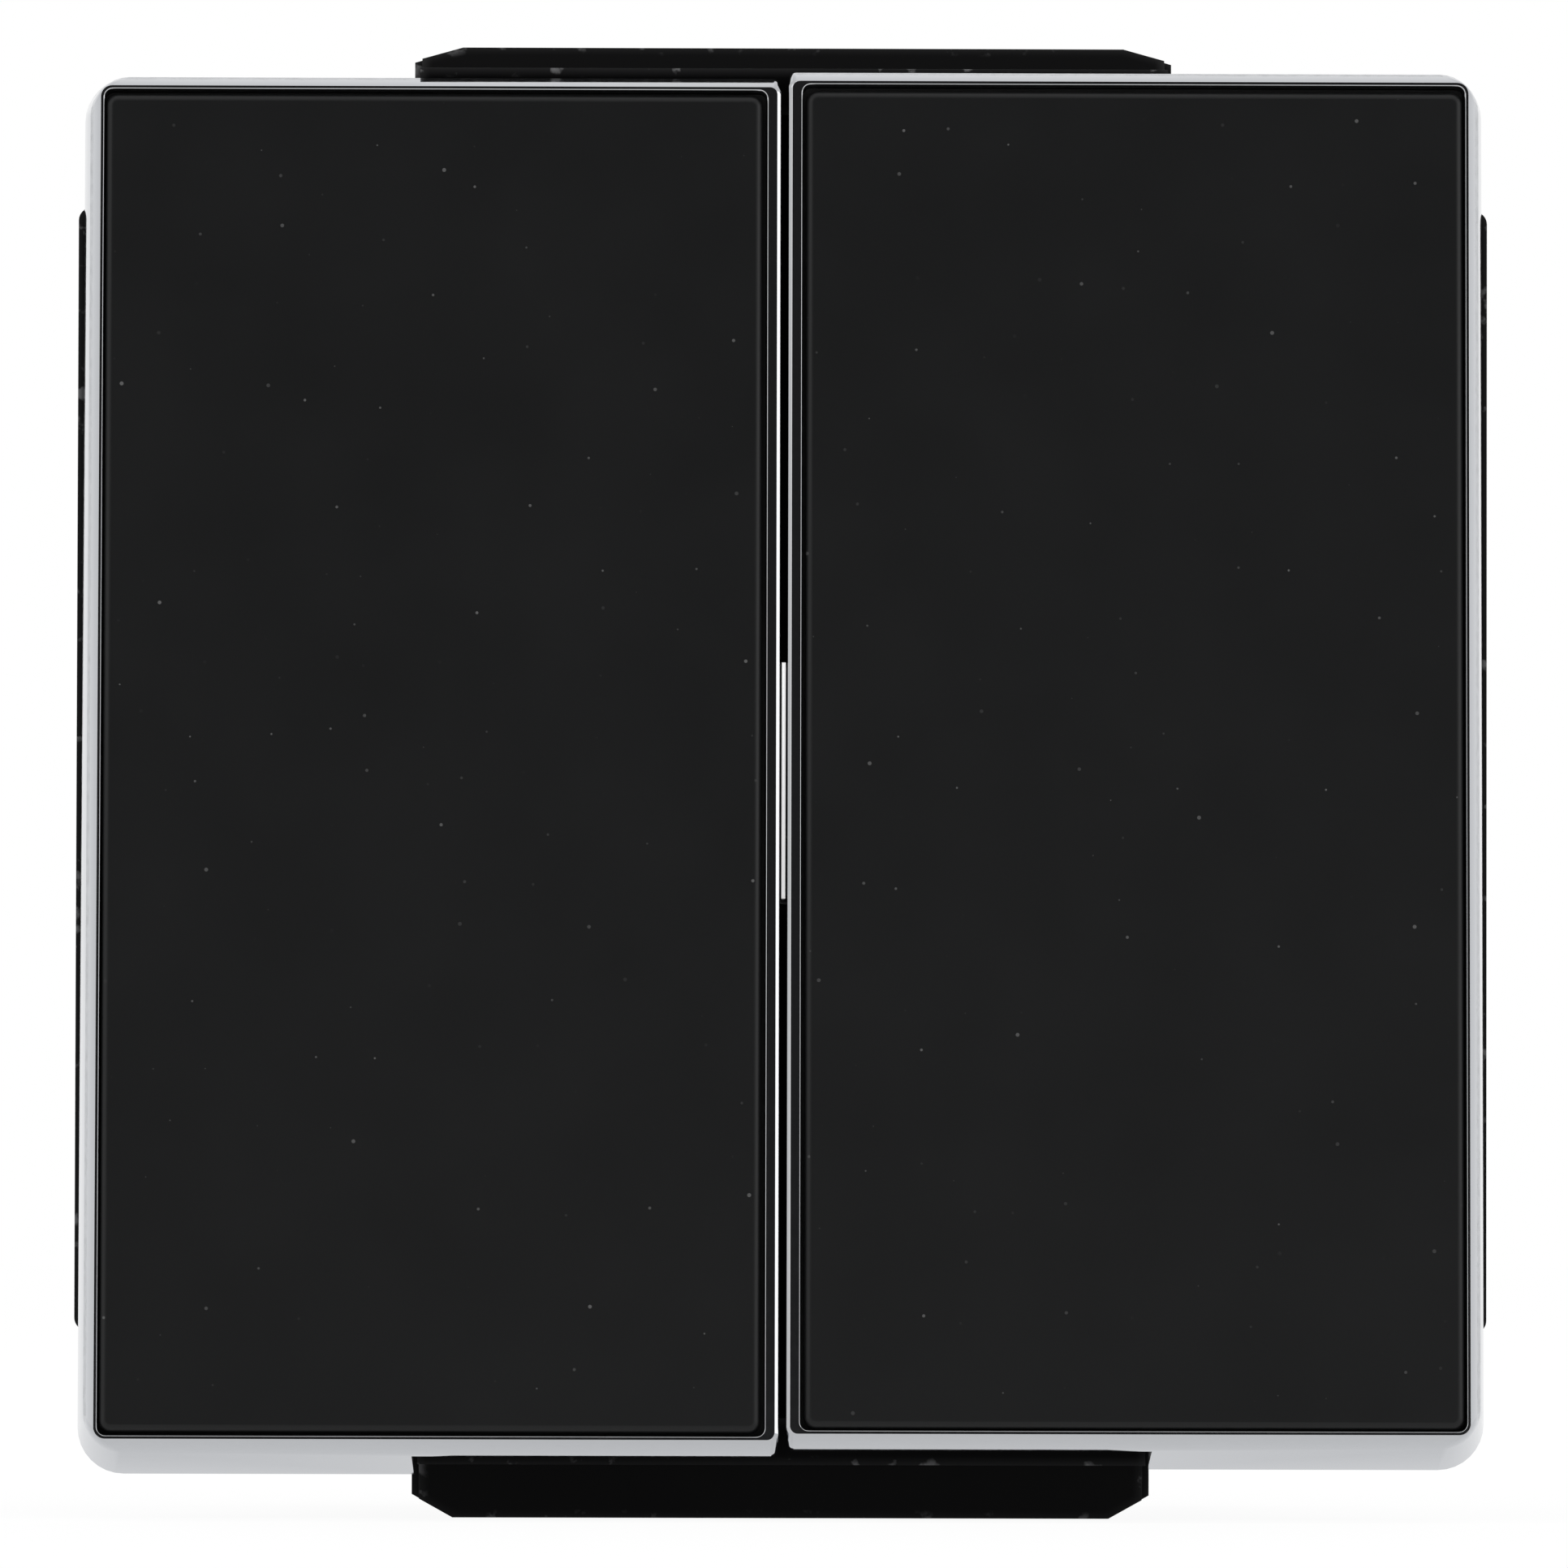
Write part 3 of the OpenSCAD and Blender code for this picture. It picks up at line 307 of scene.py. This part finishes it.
def build_edge_wear_and_highlight():
    """Paler outer edges, partly scuffs and partly a painted highlight: rays sent into the moulding come out
    early near an outer edge.
    """
    values = {
        "Reach": 0.3 * MM,
        "Strength": 1.0,
        "Scuffs per metre": 1300.0,
        "Sound share": 0.6,
        "Sharpness": 12.0,
        "Evenness": 0.1,
    }
    group, inputs, outputs = new_group("Edge Wear", values, ["Mask"])
    inner = group.nodes.new("ShaderNodeAmbientOcclusion")
    inner.inside = True
    inner.only_local = True
    inner.samples = 8
    group.links.new(inputs.outputs["Reach"], inner.inputs["Distance"])
    # Nearness to an outer edge, which feeds both the scuffs and a painted edge highlight
    edge_nearness = math_node(group, "SUBTRACT", 1.0, inner.outputs["AO"])
    patches = noise(group, inputs.outputs["Scuffs per metre"], detail=4.0)
    above = math_node(group, "SUBTRACT", patches, inputs.outputs["Sound share"])
    scuffs = math_node(group, "MULTIPLY", above, inputs.outputs["Sharpness"], clamp=True)
    patchy = math_node(group, "ADD", scuffs, inputs.outputs["Evenness"])
    rubbed_and_highlit = math_node(group, "MULTIPLY", edge_nearness, patchy)
    mask = math_node(group, "MULTIPLY", rubbed_and_highlit, inputs.outputs["Strength"], clamp=True)
    group.links.new(mask, outputs.inputs["Mask"])
    return group


def build_polish():
    """Slight waviness and haze of a polished or plated surface."""
    group, inputs, outputs = new_group(
        "Polish", {"Waves per metre": 700.0, "Haze per metre": 2500.0}, ["Height", "Haze"]
    )
    group.links.new(noise(group, inputs.outputs["Waves per metre"], detail=1.0), outputs.inputs["Height"])
    group.links.new(noise(group, inputs.outputs["Haze per metre"], detail=4.0), outputs.inputs["Haze"])
    return group


def build_drawn_lines():
    """Fine lines along Z, left by rolling and stamping."""
    along_line = 0.04
    group, inputs, outputs = new_group(
        "Drawn Lines", {"Lines per metre": 9000.0, "Haze per metre": 600.0}, ["Height", "Haze"]
    )
    stretch = group.nodes.new("ShaderNodeMapping")
    stretch.inputs["Scale"].default_value = (1.0, 1.0, along_line)
    group.links.new(own_coordinates(group), stretch.inputs["Vector"])
    lines = noise(group, inputs.outputs["Lines per metre"], vector=stretch.outputs["Vector"])
    group.links.new(lines, outputs.inputs["Height"])
    group.links.new(noise(group, inputs.outputs["Haze per metre"], detail=3.0), outputs.inputs["Haze"])
    return group


def shared_group(name):
    """The shared node group of that name, built on first use."""
    builders = {
        "Moulded Grain": build_moulded_grain,
        "Dust Specks": build_dust_specks,
        "Edge Wear": build_edge_wear_and_highlight,
        "Polish": build_polish,
        "Drawn Lines": build_drawn_lines,
    }
    return bpy.data.node_groups.get(name) or builders[name]()


# Materials


def new_material(name, colour, roughness, metallic=0.0):
    """A material with its Principled shader set to plain values; returns both."""
    material = bpy.data.materials.new(name)
    material.use_nodes = True
    shader = material.node_tree.nodes["Principled BSDF"]
    shader.inputs["Base Color"].default_value = (*colour, 1.0)
    shader.inputs["Roughness"].default_value = roughness
    shader.inputs["Metallic"].default_value = metallic
    material.diffuse_color = (*colour, 1.0)
    return material, shader


def place_group(material, name, **values):
    """Places a shared group in a material, with its own values; underscores stand for spaces."""
    node = material.node_tree.nodes.new("ShaderNodeGroup")
    node.node_tree = shared_group(name)
    for key, value in values.items():
        node.inputs[key.replace("_", " ")].default_value = value
    return node


def bump(material, shader, height, distance):
    """Raises the surface by a height, over a distance in millimetres."""
    node = material.node_tree.nodes.new("ShaderNodeBump")
    node.inputs["Distance"].default_value = distance * MM
    material.node_tree.links.new(height, node.inputs["Height"])
    material.node_tree.links.new(node.outputs["Normal"], shader.inputs["Normal"])


def vary_roughness(material, shader, value, roughness, spread):
    """Makes a finish a little smoother and rougher over the surface."""
    ramp = material.node_tree.nodes.new("ShaderNodeMapRange")
    ramp.inputs["From Min"].default_value = NOISE_LOW
    ramp.inputs["From Max"].default_value = NOISE_HIGH
    ramp.inputs["To Min"].default_value = roughness * (1.0 - spread)
    ramp.inputs["To Max"].default_value = min(1.0, roughness * (1.0 + spread))
    material.node_tree.links.new(value, ramp.inputs["Value"])
    material.node_tree.links.new(ramp.outputs["Result"], shader.inputs["Roughness"])


def mix_colour(tree, share, first, second):
    """Mixes two colours, each a colour or a socket, by a socket; returns the mixed colour."""
    node = tree.nodes.new("ShaderNodeMix")
    node.data_type = "RGBA"
    tree.links.new(share, node.inputs["Factor"])
    # The node also has float and vector sockets: its colours are inputs 6 and 7, and output 2
    for socket, value in ((node.inputs[6], first), (node.inputs[7], second)):
        if isinstance(value, bpy.types.NodeSocket):
            tree.links.new(value, socket)
        else:
            socket.default_value = (*value, 1.0)
    return node.outputs[2]


def vary_colour(material, shader, value, colour, spread):
    """Makes a colour a little darker and lighter over the surface."""
    dark = [c * (1.0 - spread) for c in colour]
    light = [min(1.0, c * (1.0 + spread)) for c in colour]
    mixed = mix_colour(material.node_tree, value, dark, light)
    material.node_tree.links.new(mixed, shader.inputs["Base Color"])


def plastic(name, colour, roughness, grain=9000.0, depth=0.002, spread=0.12):
    """Moulded plastic, uneven in tone and gloss; grain is per metre, and its depth in millimetres."""
    material, shader = new_material(name, colour, roughness)
    texture = place_group(material, "Moulded Grain", Grain_per_metre=grain)
    vary_colour(material, shader, texture.outputs["Variation"], colour, spread)
    vary_roughness(material, shader, texture.outputs["Variation"], roughness, spread=0.1)
    bump(material, shader, texture.outputs["Height"], depth)
    return material, shader


def metal(name, colour, roughness, group="Drawn Lines", depth=0.002, spread=0.06):
    """Metal with the marks of its making, of a depth in millimetres."""
    material, shader = new_material(name, colour, roughness, metallic=1.0)
    texture = place_group(material, group)
    vary_colour(material, shader, texture.outputs["Haze"], colour, spread)
    vary_roughness(material, shader, texture.outputs["Haze"], roughness, spread=0.25)
    bump(material, shader, texture.outputs["Height"], depth)
    return material, shader


def chrome():
    """Bright plating that stays grey where it is seen edge on."""
    look = finishes()
    material, shader = metal(
        "Polished chrome", look.chrome, look.chrome_roughness, group="Polish", depth=0.0012, spread=0.03
    )
    shader.inputs["Specular Tint"].default_value = (*look.chrome_edge, 1.0)
    return material


def mix_over(material, shader, mask, colour):
    """Lays a colour over the one that a material has already, by a mask."""
    tree = material.node_tree
    tone = shader.inputs["Base Color"].links[0].from_socket
    tree.links.new(mix_colour(tree, mask, tone, colour), shader.inputs["Base Color"])


def wear_and_highlight_edges(material, shader, colour, reach, strength):
    """Mixes a paler colour into a material along its outer edges, over a reach in millimetres: scuffs
    together with a painted highlight.
    """
    edge = place_group(material, "Edge Wear", Reach=reach * MM, Strength=strength)
    mix_over(material, shader, edge.outputs["Mask"], colour)


def soft_black():
    """Soft-touch black with a slow change of tone and fine specks of dust."""
    look = finishes()
    material, shader = plastic(
        "Soft-touch black", look.insert, roughness=0.37, grain=14000.0, depth=0.0015, spread=0.1
    )
    specks = place_group(material, "Dust Specks")
    mix_over(material, shader, specks.outputs["Mask"], look.dust)
    shader.inputs["Specular IOR Level"].default_value = 0.22
    return material


def frosted_guide():
    """White plastic that glows at its tip: partly the lamp's light leaving it, partly painted light that
    lifts the tip out of the slit's shade.
    """
    look = finishes()
    material, shader = plastic("Frosted white", look.guide, roughness=0.45, grain=6000.0, spread=0.03)
    tree = material.node_tree
    place = tree.nodes.new("ShaderNodeSeparateXYZ")
    tree.links.new(own_coordinates(tree), place.inputs["Vector"])
    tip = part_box("light_guide")[0][1] + GLOWING_TIP
    # Painted light in part: the tip's emission also stands in for light that the narrow slit would shade
    # away
    lit = math_node(tree, "LESS_THAN", place.outputs["Y"], tip)
    glow = mix_colour(tree, lit, (0.0, 0.0, 0.0), (1.0, 1.0, 1.0))
    tree.links.new(glow, shader.inputs["Emission Color"])
    shader.inputs["Emission Strength"].default_value = look.guide_glow_and_painted_light
    return material


# Dressing the solids


def dress(node, material, radius=0.0, segments=3):
    """Gives a solid its material and rounds its sharp edges."""
    piece = NODES[node]
    piece.data.materials.clear()
    piece.data.materials.append(material)
    piece.data.shade_smooth()
    weld = piece.modifiers.new("Joined corners", "WELD")
    weld.merge_threshold = WELD_REACH
    flat = piece.modifiers.new("Whole faces", "DECIMATE")
    flat.decimate_type = "DISSOLVE"
    flat.angle_limit = FLAT_ANGLE
    if radius:
        edge = piece.modifiers.new("Edge radius", "BEVEL")
        edge.width = radius
        edge.segments = segments
        edge.limit_method = "ANGLE"
        edge.angle_limit = SHARP_ANGLE
        edge.use_clamp_overlap = True
    normals = piece.modifiers.new("Face normals", "WEIGHTED_NORMAL")
    normals.weight = NORMAL_WEIGHT


def coil_points(length, radius, turns, steps):
    """Middle line of a coil along +Z from 0, with a closed part at each end; yields (angle, point)."""
    closed = CLOSED_TURNS / turns
    for i in range(steps * turns + 1):
        share = i / (steps * turns)
        if share < closed:
            rise = CLOSED_RISE * share / closed
        elif share > 1.0 - closed:
            rise = 1.0 - CLOSED_RISE * (1.0 - share) / closed
        else:
            open_share = (share - closed) / (1.0 - 2.0 * closed)
            rise = CLOSED_RISE + (1.0 - 2.0 * CLOSED_RISE) * open_share
        angle = 2.0 * math.pi * turns * share
        yield angle, Vector((radius * math.cos(angle), radius * math.sin(angle), length * rise))


def make_coil(name, base, axis, sizes, steps=24, sides=10):
    """A coil of round wire, of the spring sizes given, that starts at base and runs along axis."""
    half_wire = sizes.wire / 2
    shape = bmesh.new()
    turn = axis.to_track_quat("Z", "X")
    rings = []
    for angle, point in coil_points(sizes.length - sizes.wire, sizes.radius, sizes.turns, steps):
        out = Vector((math.cos(angle), math.sin(angle), 0.0))
        ring = []
        for k in range(sides):
            around = 2.0 * math.pi * k / sides
            offset = (out * math.cos(around) + Vector((0.0, 0.0, math.sin(around)))) * half_wire
            ring.append(shape.verts.new(base + turn @ (point + offset + Vector((0.0, 0.0, half_wire)))))
        rings.append(ring)
    for first, second in zip(rings, rings[1:]):
        for k in range(sides):
            shape.faces.new((first[k - 1], first[k], second[k], second[k - 1]))
    shape.faces.new(reversed(rings[0]))
    shape.faces.new(rings[-1])
    bmesh.ops.recalc_face_normals(shape, faces=shape.faces)
    mesh = bpy.data.meshes.new(name)
    shape.to_mesh(mesh)
    shape.free()
    mesh.shade_smooth()
    coil = bpy.data.objects.new(name, mesh)
    bpy.context.scene.collection.objects.link(coil)
    return coil


class SwitchOperator(bpy.types.Operator):
    """Shared settings of the switch's operators."""

    bl_options = {"REGISTER", "UNDO"}


class SWITCH_OT_trays(SwitchOperator):
    """Plates the two rocker trays"""

    bl_idname = "switch.trays"
    bl_label = "Rocker Trays"

    def execute(self, context):
        plating = chrome()
        for side in SIDES:
            dress(f"{side}_bezel", plating, edges().tray)
        return {"FINISHED"}


class SWITCH_OT_inserts(SwitchOperator):
    """Finishes the soft black inserts and the film under them"""

    bl_idname = "switch.inserts"
    bl_label = "Inserts"

    def execute(self, context):
        panel = soft_black()
        film = plastic("Black film", finishes().film, roughness=0.7)[0]
        for side in SIDES:
            dress(f"{side}_insert", panel)
            dress(f"{side}_film", film)
        return {"FINISHED"}


class SWITCH_OT_support_frame(SwitchOperator):
    """Finishes the satin black support frame"""

    bl_idname = "switch.support_frame"
    bl_label = "Support Frame"

    def execute(self, context):
        look = finishes()
        material, shader = plastic("Satin black", look.frame, roughness=0.3, grain=5000.0, depth=0.001)
        shader.inputs["Specular IOR Level"].default_value = 0.04
        # Paler edges: scuffs and a painted highlight along the frame's edges
        wear_and_highlight_edges(material, shader, look.frame_edge_wear_and_highlight, reach=0.4, strength=1.6)
        dress("support_frame", material, edges().frame)
        return {"FINISHED"}


class SWITCH_OT_levers(SwitchOperator):
    """Finishes the levers and their plungers"""

    bl_idname = "switch.levers"
    bl_label = "Levers and Plungers"

    def execute(self, context):
        black = plastic("Matt black", finishes().lever, roughness=0.5)[0]
        white = plastic("Plunger white", finishes().plunger, roughness=0.4)[0]
        for side in SIDES:
            dress(f"{side}_lever", black, edges().small)
            dress(f"{side}_plunger", white)
        return {"FINISHED"}


class SWITCH_OT_mechanism_box(SwitchOperator):
    """Finishes the mechanism's box and cover"""

    bl_idname = "switch.mechanism_box"
    bl_label = "Mechanism Box"

    def execute(self, context):
        grey = plastic("Box grey", finishes().box, roughness=0.55, grain=7000.0, depth=0.004)[0]
        dress("mechanism_housing", grey, edges().box)
        dress("mechanism_cover", grey, edges().small)
        return {"FINISHED"}


class SWITCH_OT_contacts(SwitchOperator):
    """Finishes the terminals, contacts, rivets and screws"""

    bl_idname = "switch.contacts"
    bl_label = "Contacts and Terminals"

    def execute(self, context):
        look = finishes()
        brass = metal("Stamped brass", look.brass, roughness=0.3)[0]
        copper = metal("Copper strip", look.copper, roughness=0.3)[0]
        silver = metal("Contact silver", look.silver, roughness=0.35, group="Polish")[0]
        steel = metal("Zinc-plated steel", look.steel, roughness=0.28, group="Polish")[0]
        for side in SIDES:
            for way in ("common", "upper", "lower"):
                dress(f"{side}_{way}_terminal", brass, edges().small)
            dress(f"{side}_contact", copper, edges().small)
            dress(f"{side}_contact_rivets", silver, edges().small)
        dress("fixed_rivets", silver, edges().small)
        dress("terminal_screws", steel, edges().small)
        return {"FINISHED"}


class SWITCH_OT_springs(SwitchOperator):
    """Winds the plunger springs"""

    bl_idname = "switch.springs"
    bl_label = "Plunger Springs"

    def execute(self, context):
        sizes = context.scene.switch_springs
        wire = metal("Spring steel", finishes().steel, roughness=0.25, group="Polish")[0]
        for side in SIDES:
            low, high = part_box(f"{side}_spring")
            middle = (Vector(low) + Vector(high)) / 2
            slide = next(j for j in frame["joints"] if j["name"] == f"{side}_plunger_slide")
            axis = -Vector(slide["axis"]).normalized()
            base = middle - axis * sizes.length / 2
            coil = make_coil(f"{side}_coil", base, axis, sizes)
            coil.data.materials.append(wire)
            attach(coil, f"{side}_key")
            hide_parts(f"{side}_spring")
            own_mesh(coil)
        return {"FINISHED"}


class SWITCH_OT_locator_light(SwitchOperator):
    """Finishes the light guide, the lamp and its board"""

    bl_idname = "switch.locator_light"
    bl_label = "Locator Light"

    def execute(self, context):
        white = frosted_guide()
        dress("light_guide", white)
        dress("locator_lamp", white, edges().small)
        dress("lamp_board", plastic("Board green", finishes().board, roughness=0.35)[0])
        return {"FINISHED"}


class SWITCH_OT_stage(SwitchOperator):
    """Makes the floor, the lamps, the world and the camera"""

    bl_idname = "switch.stage"
    bl_label = "Stage"

    def execute(self, context):
        make_floor()
        make_front_card()
        make_lamps()
        make_world()
        make_camera()
        context.scene.view_settings.view_transform = "Standard"
        return {"FINISHED"}


# Stage


def seen_directly(tree):
    """1 for what the camera sees, directly or in metal and glass."""
    path = tree.nodes.new("ShaderNodeLightPath").outputs
    shiny = math_node(tree, "MAXIMUM", path["Is Glossy Ray"], path["Is Transmission Ray"])
    return math_node(tree, "MAXIMUM", path["Is Camera Ray"], shiny)


def make_sheet(name, half):
    """A flat square about its own middle, facing +Z."""
    mesh = bpy.data.meshes.new(name)
    corners = [(-half, -half, 0), (half, -half, 0), (half, half, 0), (-half, half, 0)]
    mesh.from_pydata(corners, [], [(0, 1, 2, 3)])
    sheet = bpy.data.objects.new(name, mesh)
    bpy.context.scene.collection.objects.link(sheet)
    return sheet


def make_floor():
    """A pale floor under the lowest point, white to the camera apart from a soft shadow."""
    settings = stage_settings()
    floor = make_sheet("floor", FLOOR_HALF)
    floor.location.z = CAD_BOX[0][2]
    material, shader = new_material("Pale floor", settings.floor, roughness=0.9)
    tree = material.node_tree
    seen = seen_directly(tree)
    tone = mix_colour(tree, seen, settings.floor_bounce, settings.floor)
    tree.links.new(tone, shader.inputs["Base Color"])
    white = tree.nodes.new("ShaderNodeEmission")
    white.inputs["Strength"].default_value = settings.floor_light
    mix = tree.nodes.new("ShaderNodeMixShader")
    share = math_node(tree, "MULTIPLY", seen, settings.floor_white)
    tree.links.new(share, mix.inputs["Fac"])
    tree.links.new(shader.outputs["BSDF"], mix.inputs[1])
    tree.links.new(white.outputs["Emission"], mix.inputs[2])
    tree.links.new(mix.outputs["Shader"], tree.nodes["Material Output"].inputs["Surface"])
    floor.data.materials.append(material)


def make_front_card():
    """A dark card behind the camera, which only shows in the polished faces that look its way."""
    settings = stage_settings()
    card = make_sheet("front_card", settings.card_half)
    card.location.y = -settings.card_distance
    card.rotation_euler.x = -math.pi / 2
    card.data.materials.append(new_material("Dark card", settings.card, roughness=0.9)[0])
    card.visible_camera = False
    card.visible_diffuse = False
    card.visible_shadow = False


def make_lamp(name, place, size, power):
    """A square lamp that shines at the middle of the switch."""
    data = bpy.data.lights.new(name, "AREA")
    data.shape = "SQUARE"
    data.size = size
    data.energy = power
    lamp = bpy.data.objects.new(name, data)
    lamp.location = place
    lamp.rotation_euler = (-Vector(place)).to_track_quat("-Z", "Y").to_euler()
    bpy.context.scene.collection.objects.link(lamp)


def make_lamps():
    for name, (place, size) in LAMPS.items():
        make_lamp(f"{name}_lamp", place, size, getattr(stage_settings(), name))


def make_world():
    """White all round to the camera and in reflections, and a softer light on the object."""
    world = bpy.data.worlds.new("Studio")
    bpy.context.scene.world = world
    world.use_nodes = True
    tree = world.node_tree
    white = tree.nodes["Background"]
    white.inputs["Color"].default_value = (1.0, 1.0, 1.0, 1.0)
    ambient = tree.nodes.new("ShaderNodeBackground")
    ambient.inputs["Color"].default_value = (1.0, 1.0, 1.0, 1.0)
    ambient.inputs["Strength"].default_value = stage_settings().ambient
    mix = tree.nodes.new("ShaderNodeMixShader")
    tree.links.new(seen_directly(tree), mix.inputs["Fac"])
    tree.links.new(ambient.outputs["Background"], mix.inputs[1])
    tree.links.new(white.outputs["Background"], mix.inputs[2])
    tree.links.new(mix.outputs["Shader"], tree.nodes["World Output"].inputs["Surface"])


def make_camera():
    """A camera in front of the rockers, a little below their middle."""
    settings = stage_settings()
    data = bpy.data.cameras.new("camera")
    data.sensor_width = SENSOR_MM
    data.lens = settings.focal_px / FRAME_PX * SENSOR_MM
    data.clip_start = 0.01
    camera = bpy.data.objects.new("camera", data)
    camera.location = (settings.camera_x, -settings.camera_distance, settings.camera_z)
    camera.rotation_euler = (math.pi / 2 + settings.camera_pitch, settings.camera_roll, settings.camera_yaw)
    bpy.context.scene.collection.objects.link(camera)
    bpy.context.scene.camera = camera


PIECE_OPERATORS = (
    SWITCH_OT_trays,
    SWITCH_OT_inserts,
    SWITCH_OT_support_frame,
    SWITCH_OT_levers,
    SWITCH_OT_mechanism_box,
    SWITCH_OT_contacts,
    SWITCH_OT_springs,
    SWITCH_OT_locator_light,
    SWITCH_OT_stage,
)


class SWITCH_PT_sidebar(bpy.types.Panel):
    """Lists the switch's operators in the 3D view's sidebar."""

    bl_idname = "SWITCH_PT_sidebar"
    bl_label = "Wall Switch"
    bl_space_type = "VIEW_3D"
    bl_region_type = "UI"
    bl_category = "Wall Switch"

    def draw(self, context):
        for operator in PIECE_OPERATORS:
            self.layout.operator(operator.bl_idname)


SETTINGS = {
    "switch_finishes": SwitchFinishes,
    "switch_edges": SwitchEdges,
    "switch_springs": SwitchSprings,
    "switch_stage": SwitchStage,
}


def register():
    for name, group in SETTINGS.items():
        bpy.utils.register_class(group)
        setattr(bpy.types.Scene, name, PointerProperty(type=group))
    for cls in (*PIECE_OPERATORS, SWITCH_PT_sidebar):
        bpy.utils.register_class(cls)


def unregister():
    for cls in (SWITCH_PT_sidebar, *reversed(PIECE_OPERATORS)):
        bpy.utils.unregister_class(cls)
    for name, group in SETTINGS.items():
        delattr(bpy.types.Scene, name)
        bpy.utils.unregister_class(group)


def main():
    register()
    bpy.ops.switch.trays()
    bpy.ops.switch.inserts()
    bpy.ops.switch.support_frame()
    bpy.ops.switch.levers()
    bpy.ops.switch.mechanism_box()
    bpy.ops.switch.contacts()
    bpy.ops.switch.springs()
    bpy.ops.switch.locator_light()
    bpy.ops.switch.stage()


if __name__ == "__main__":
    main()
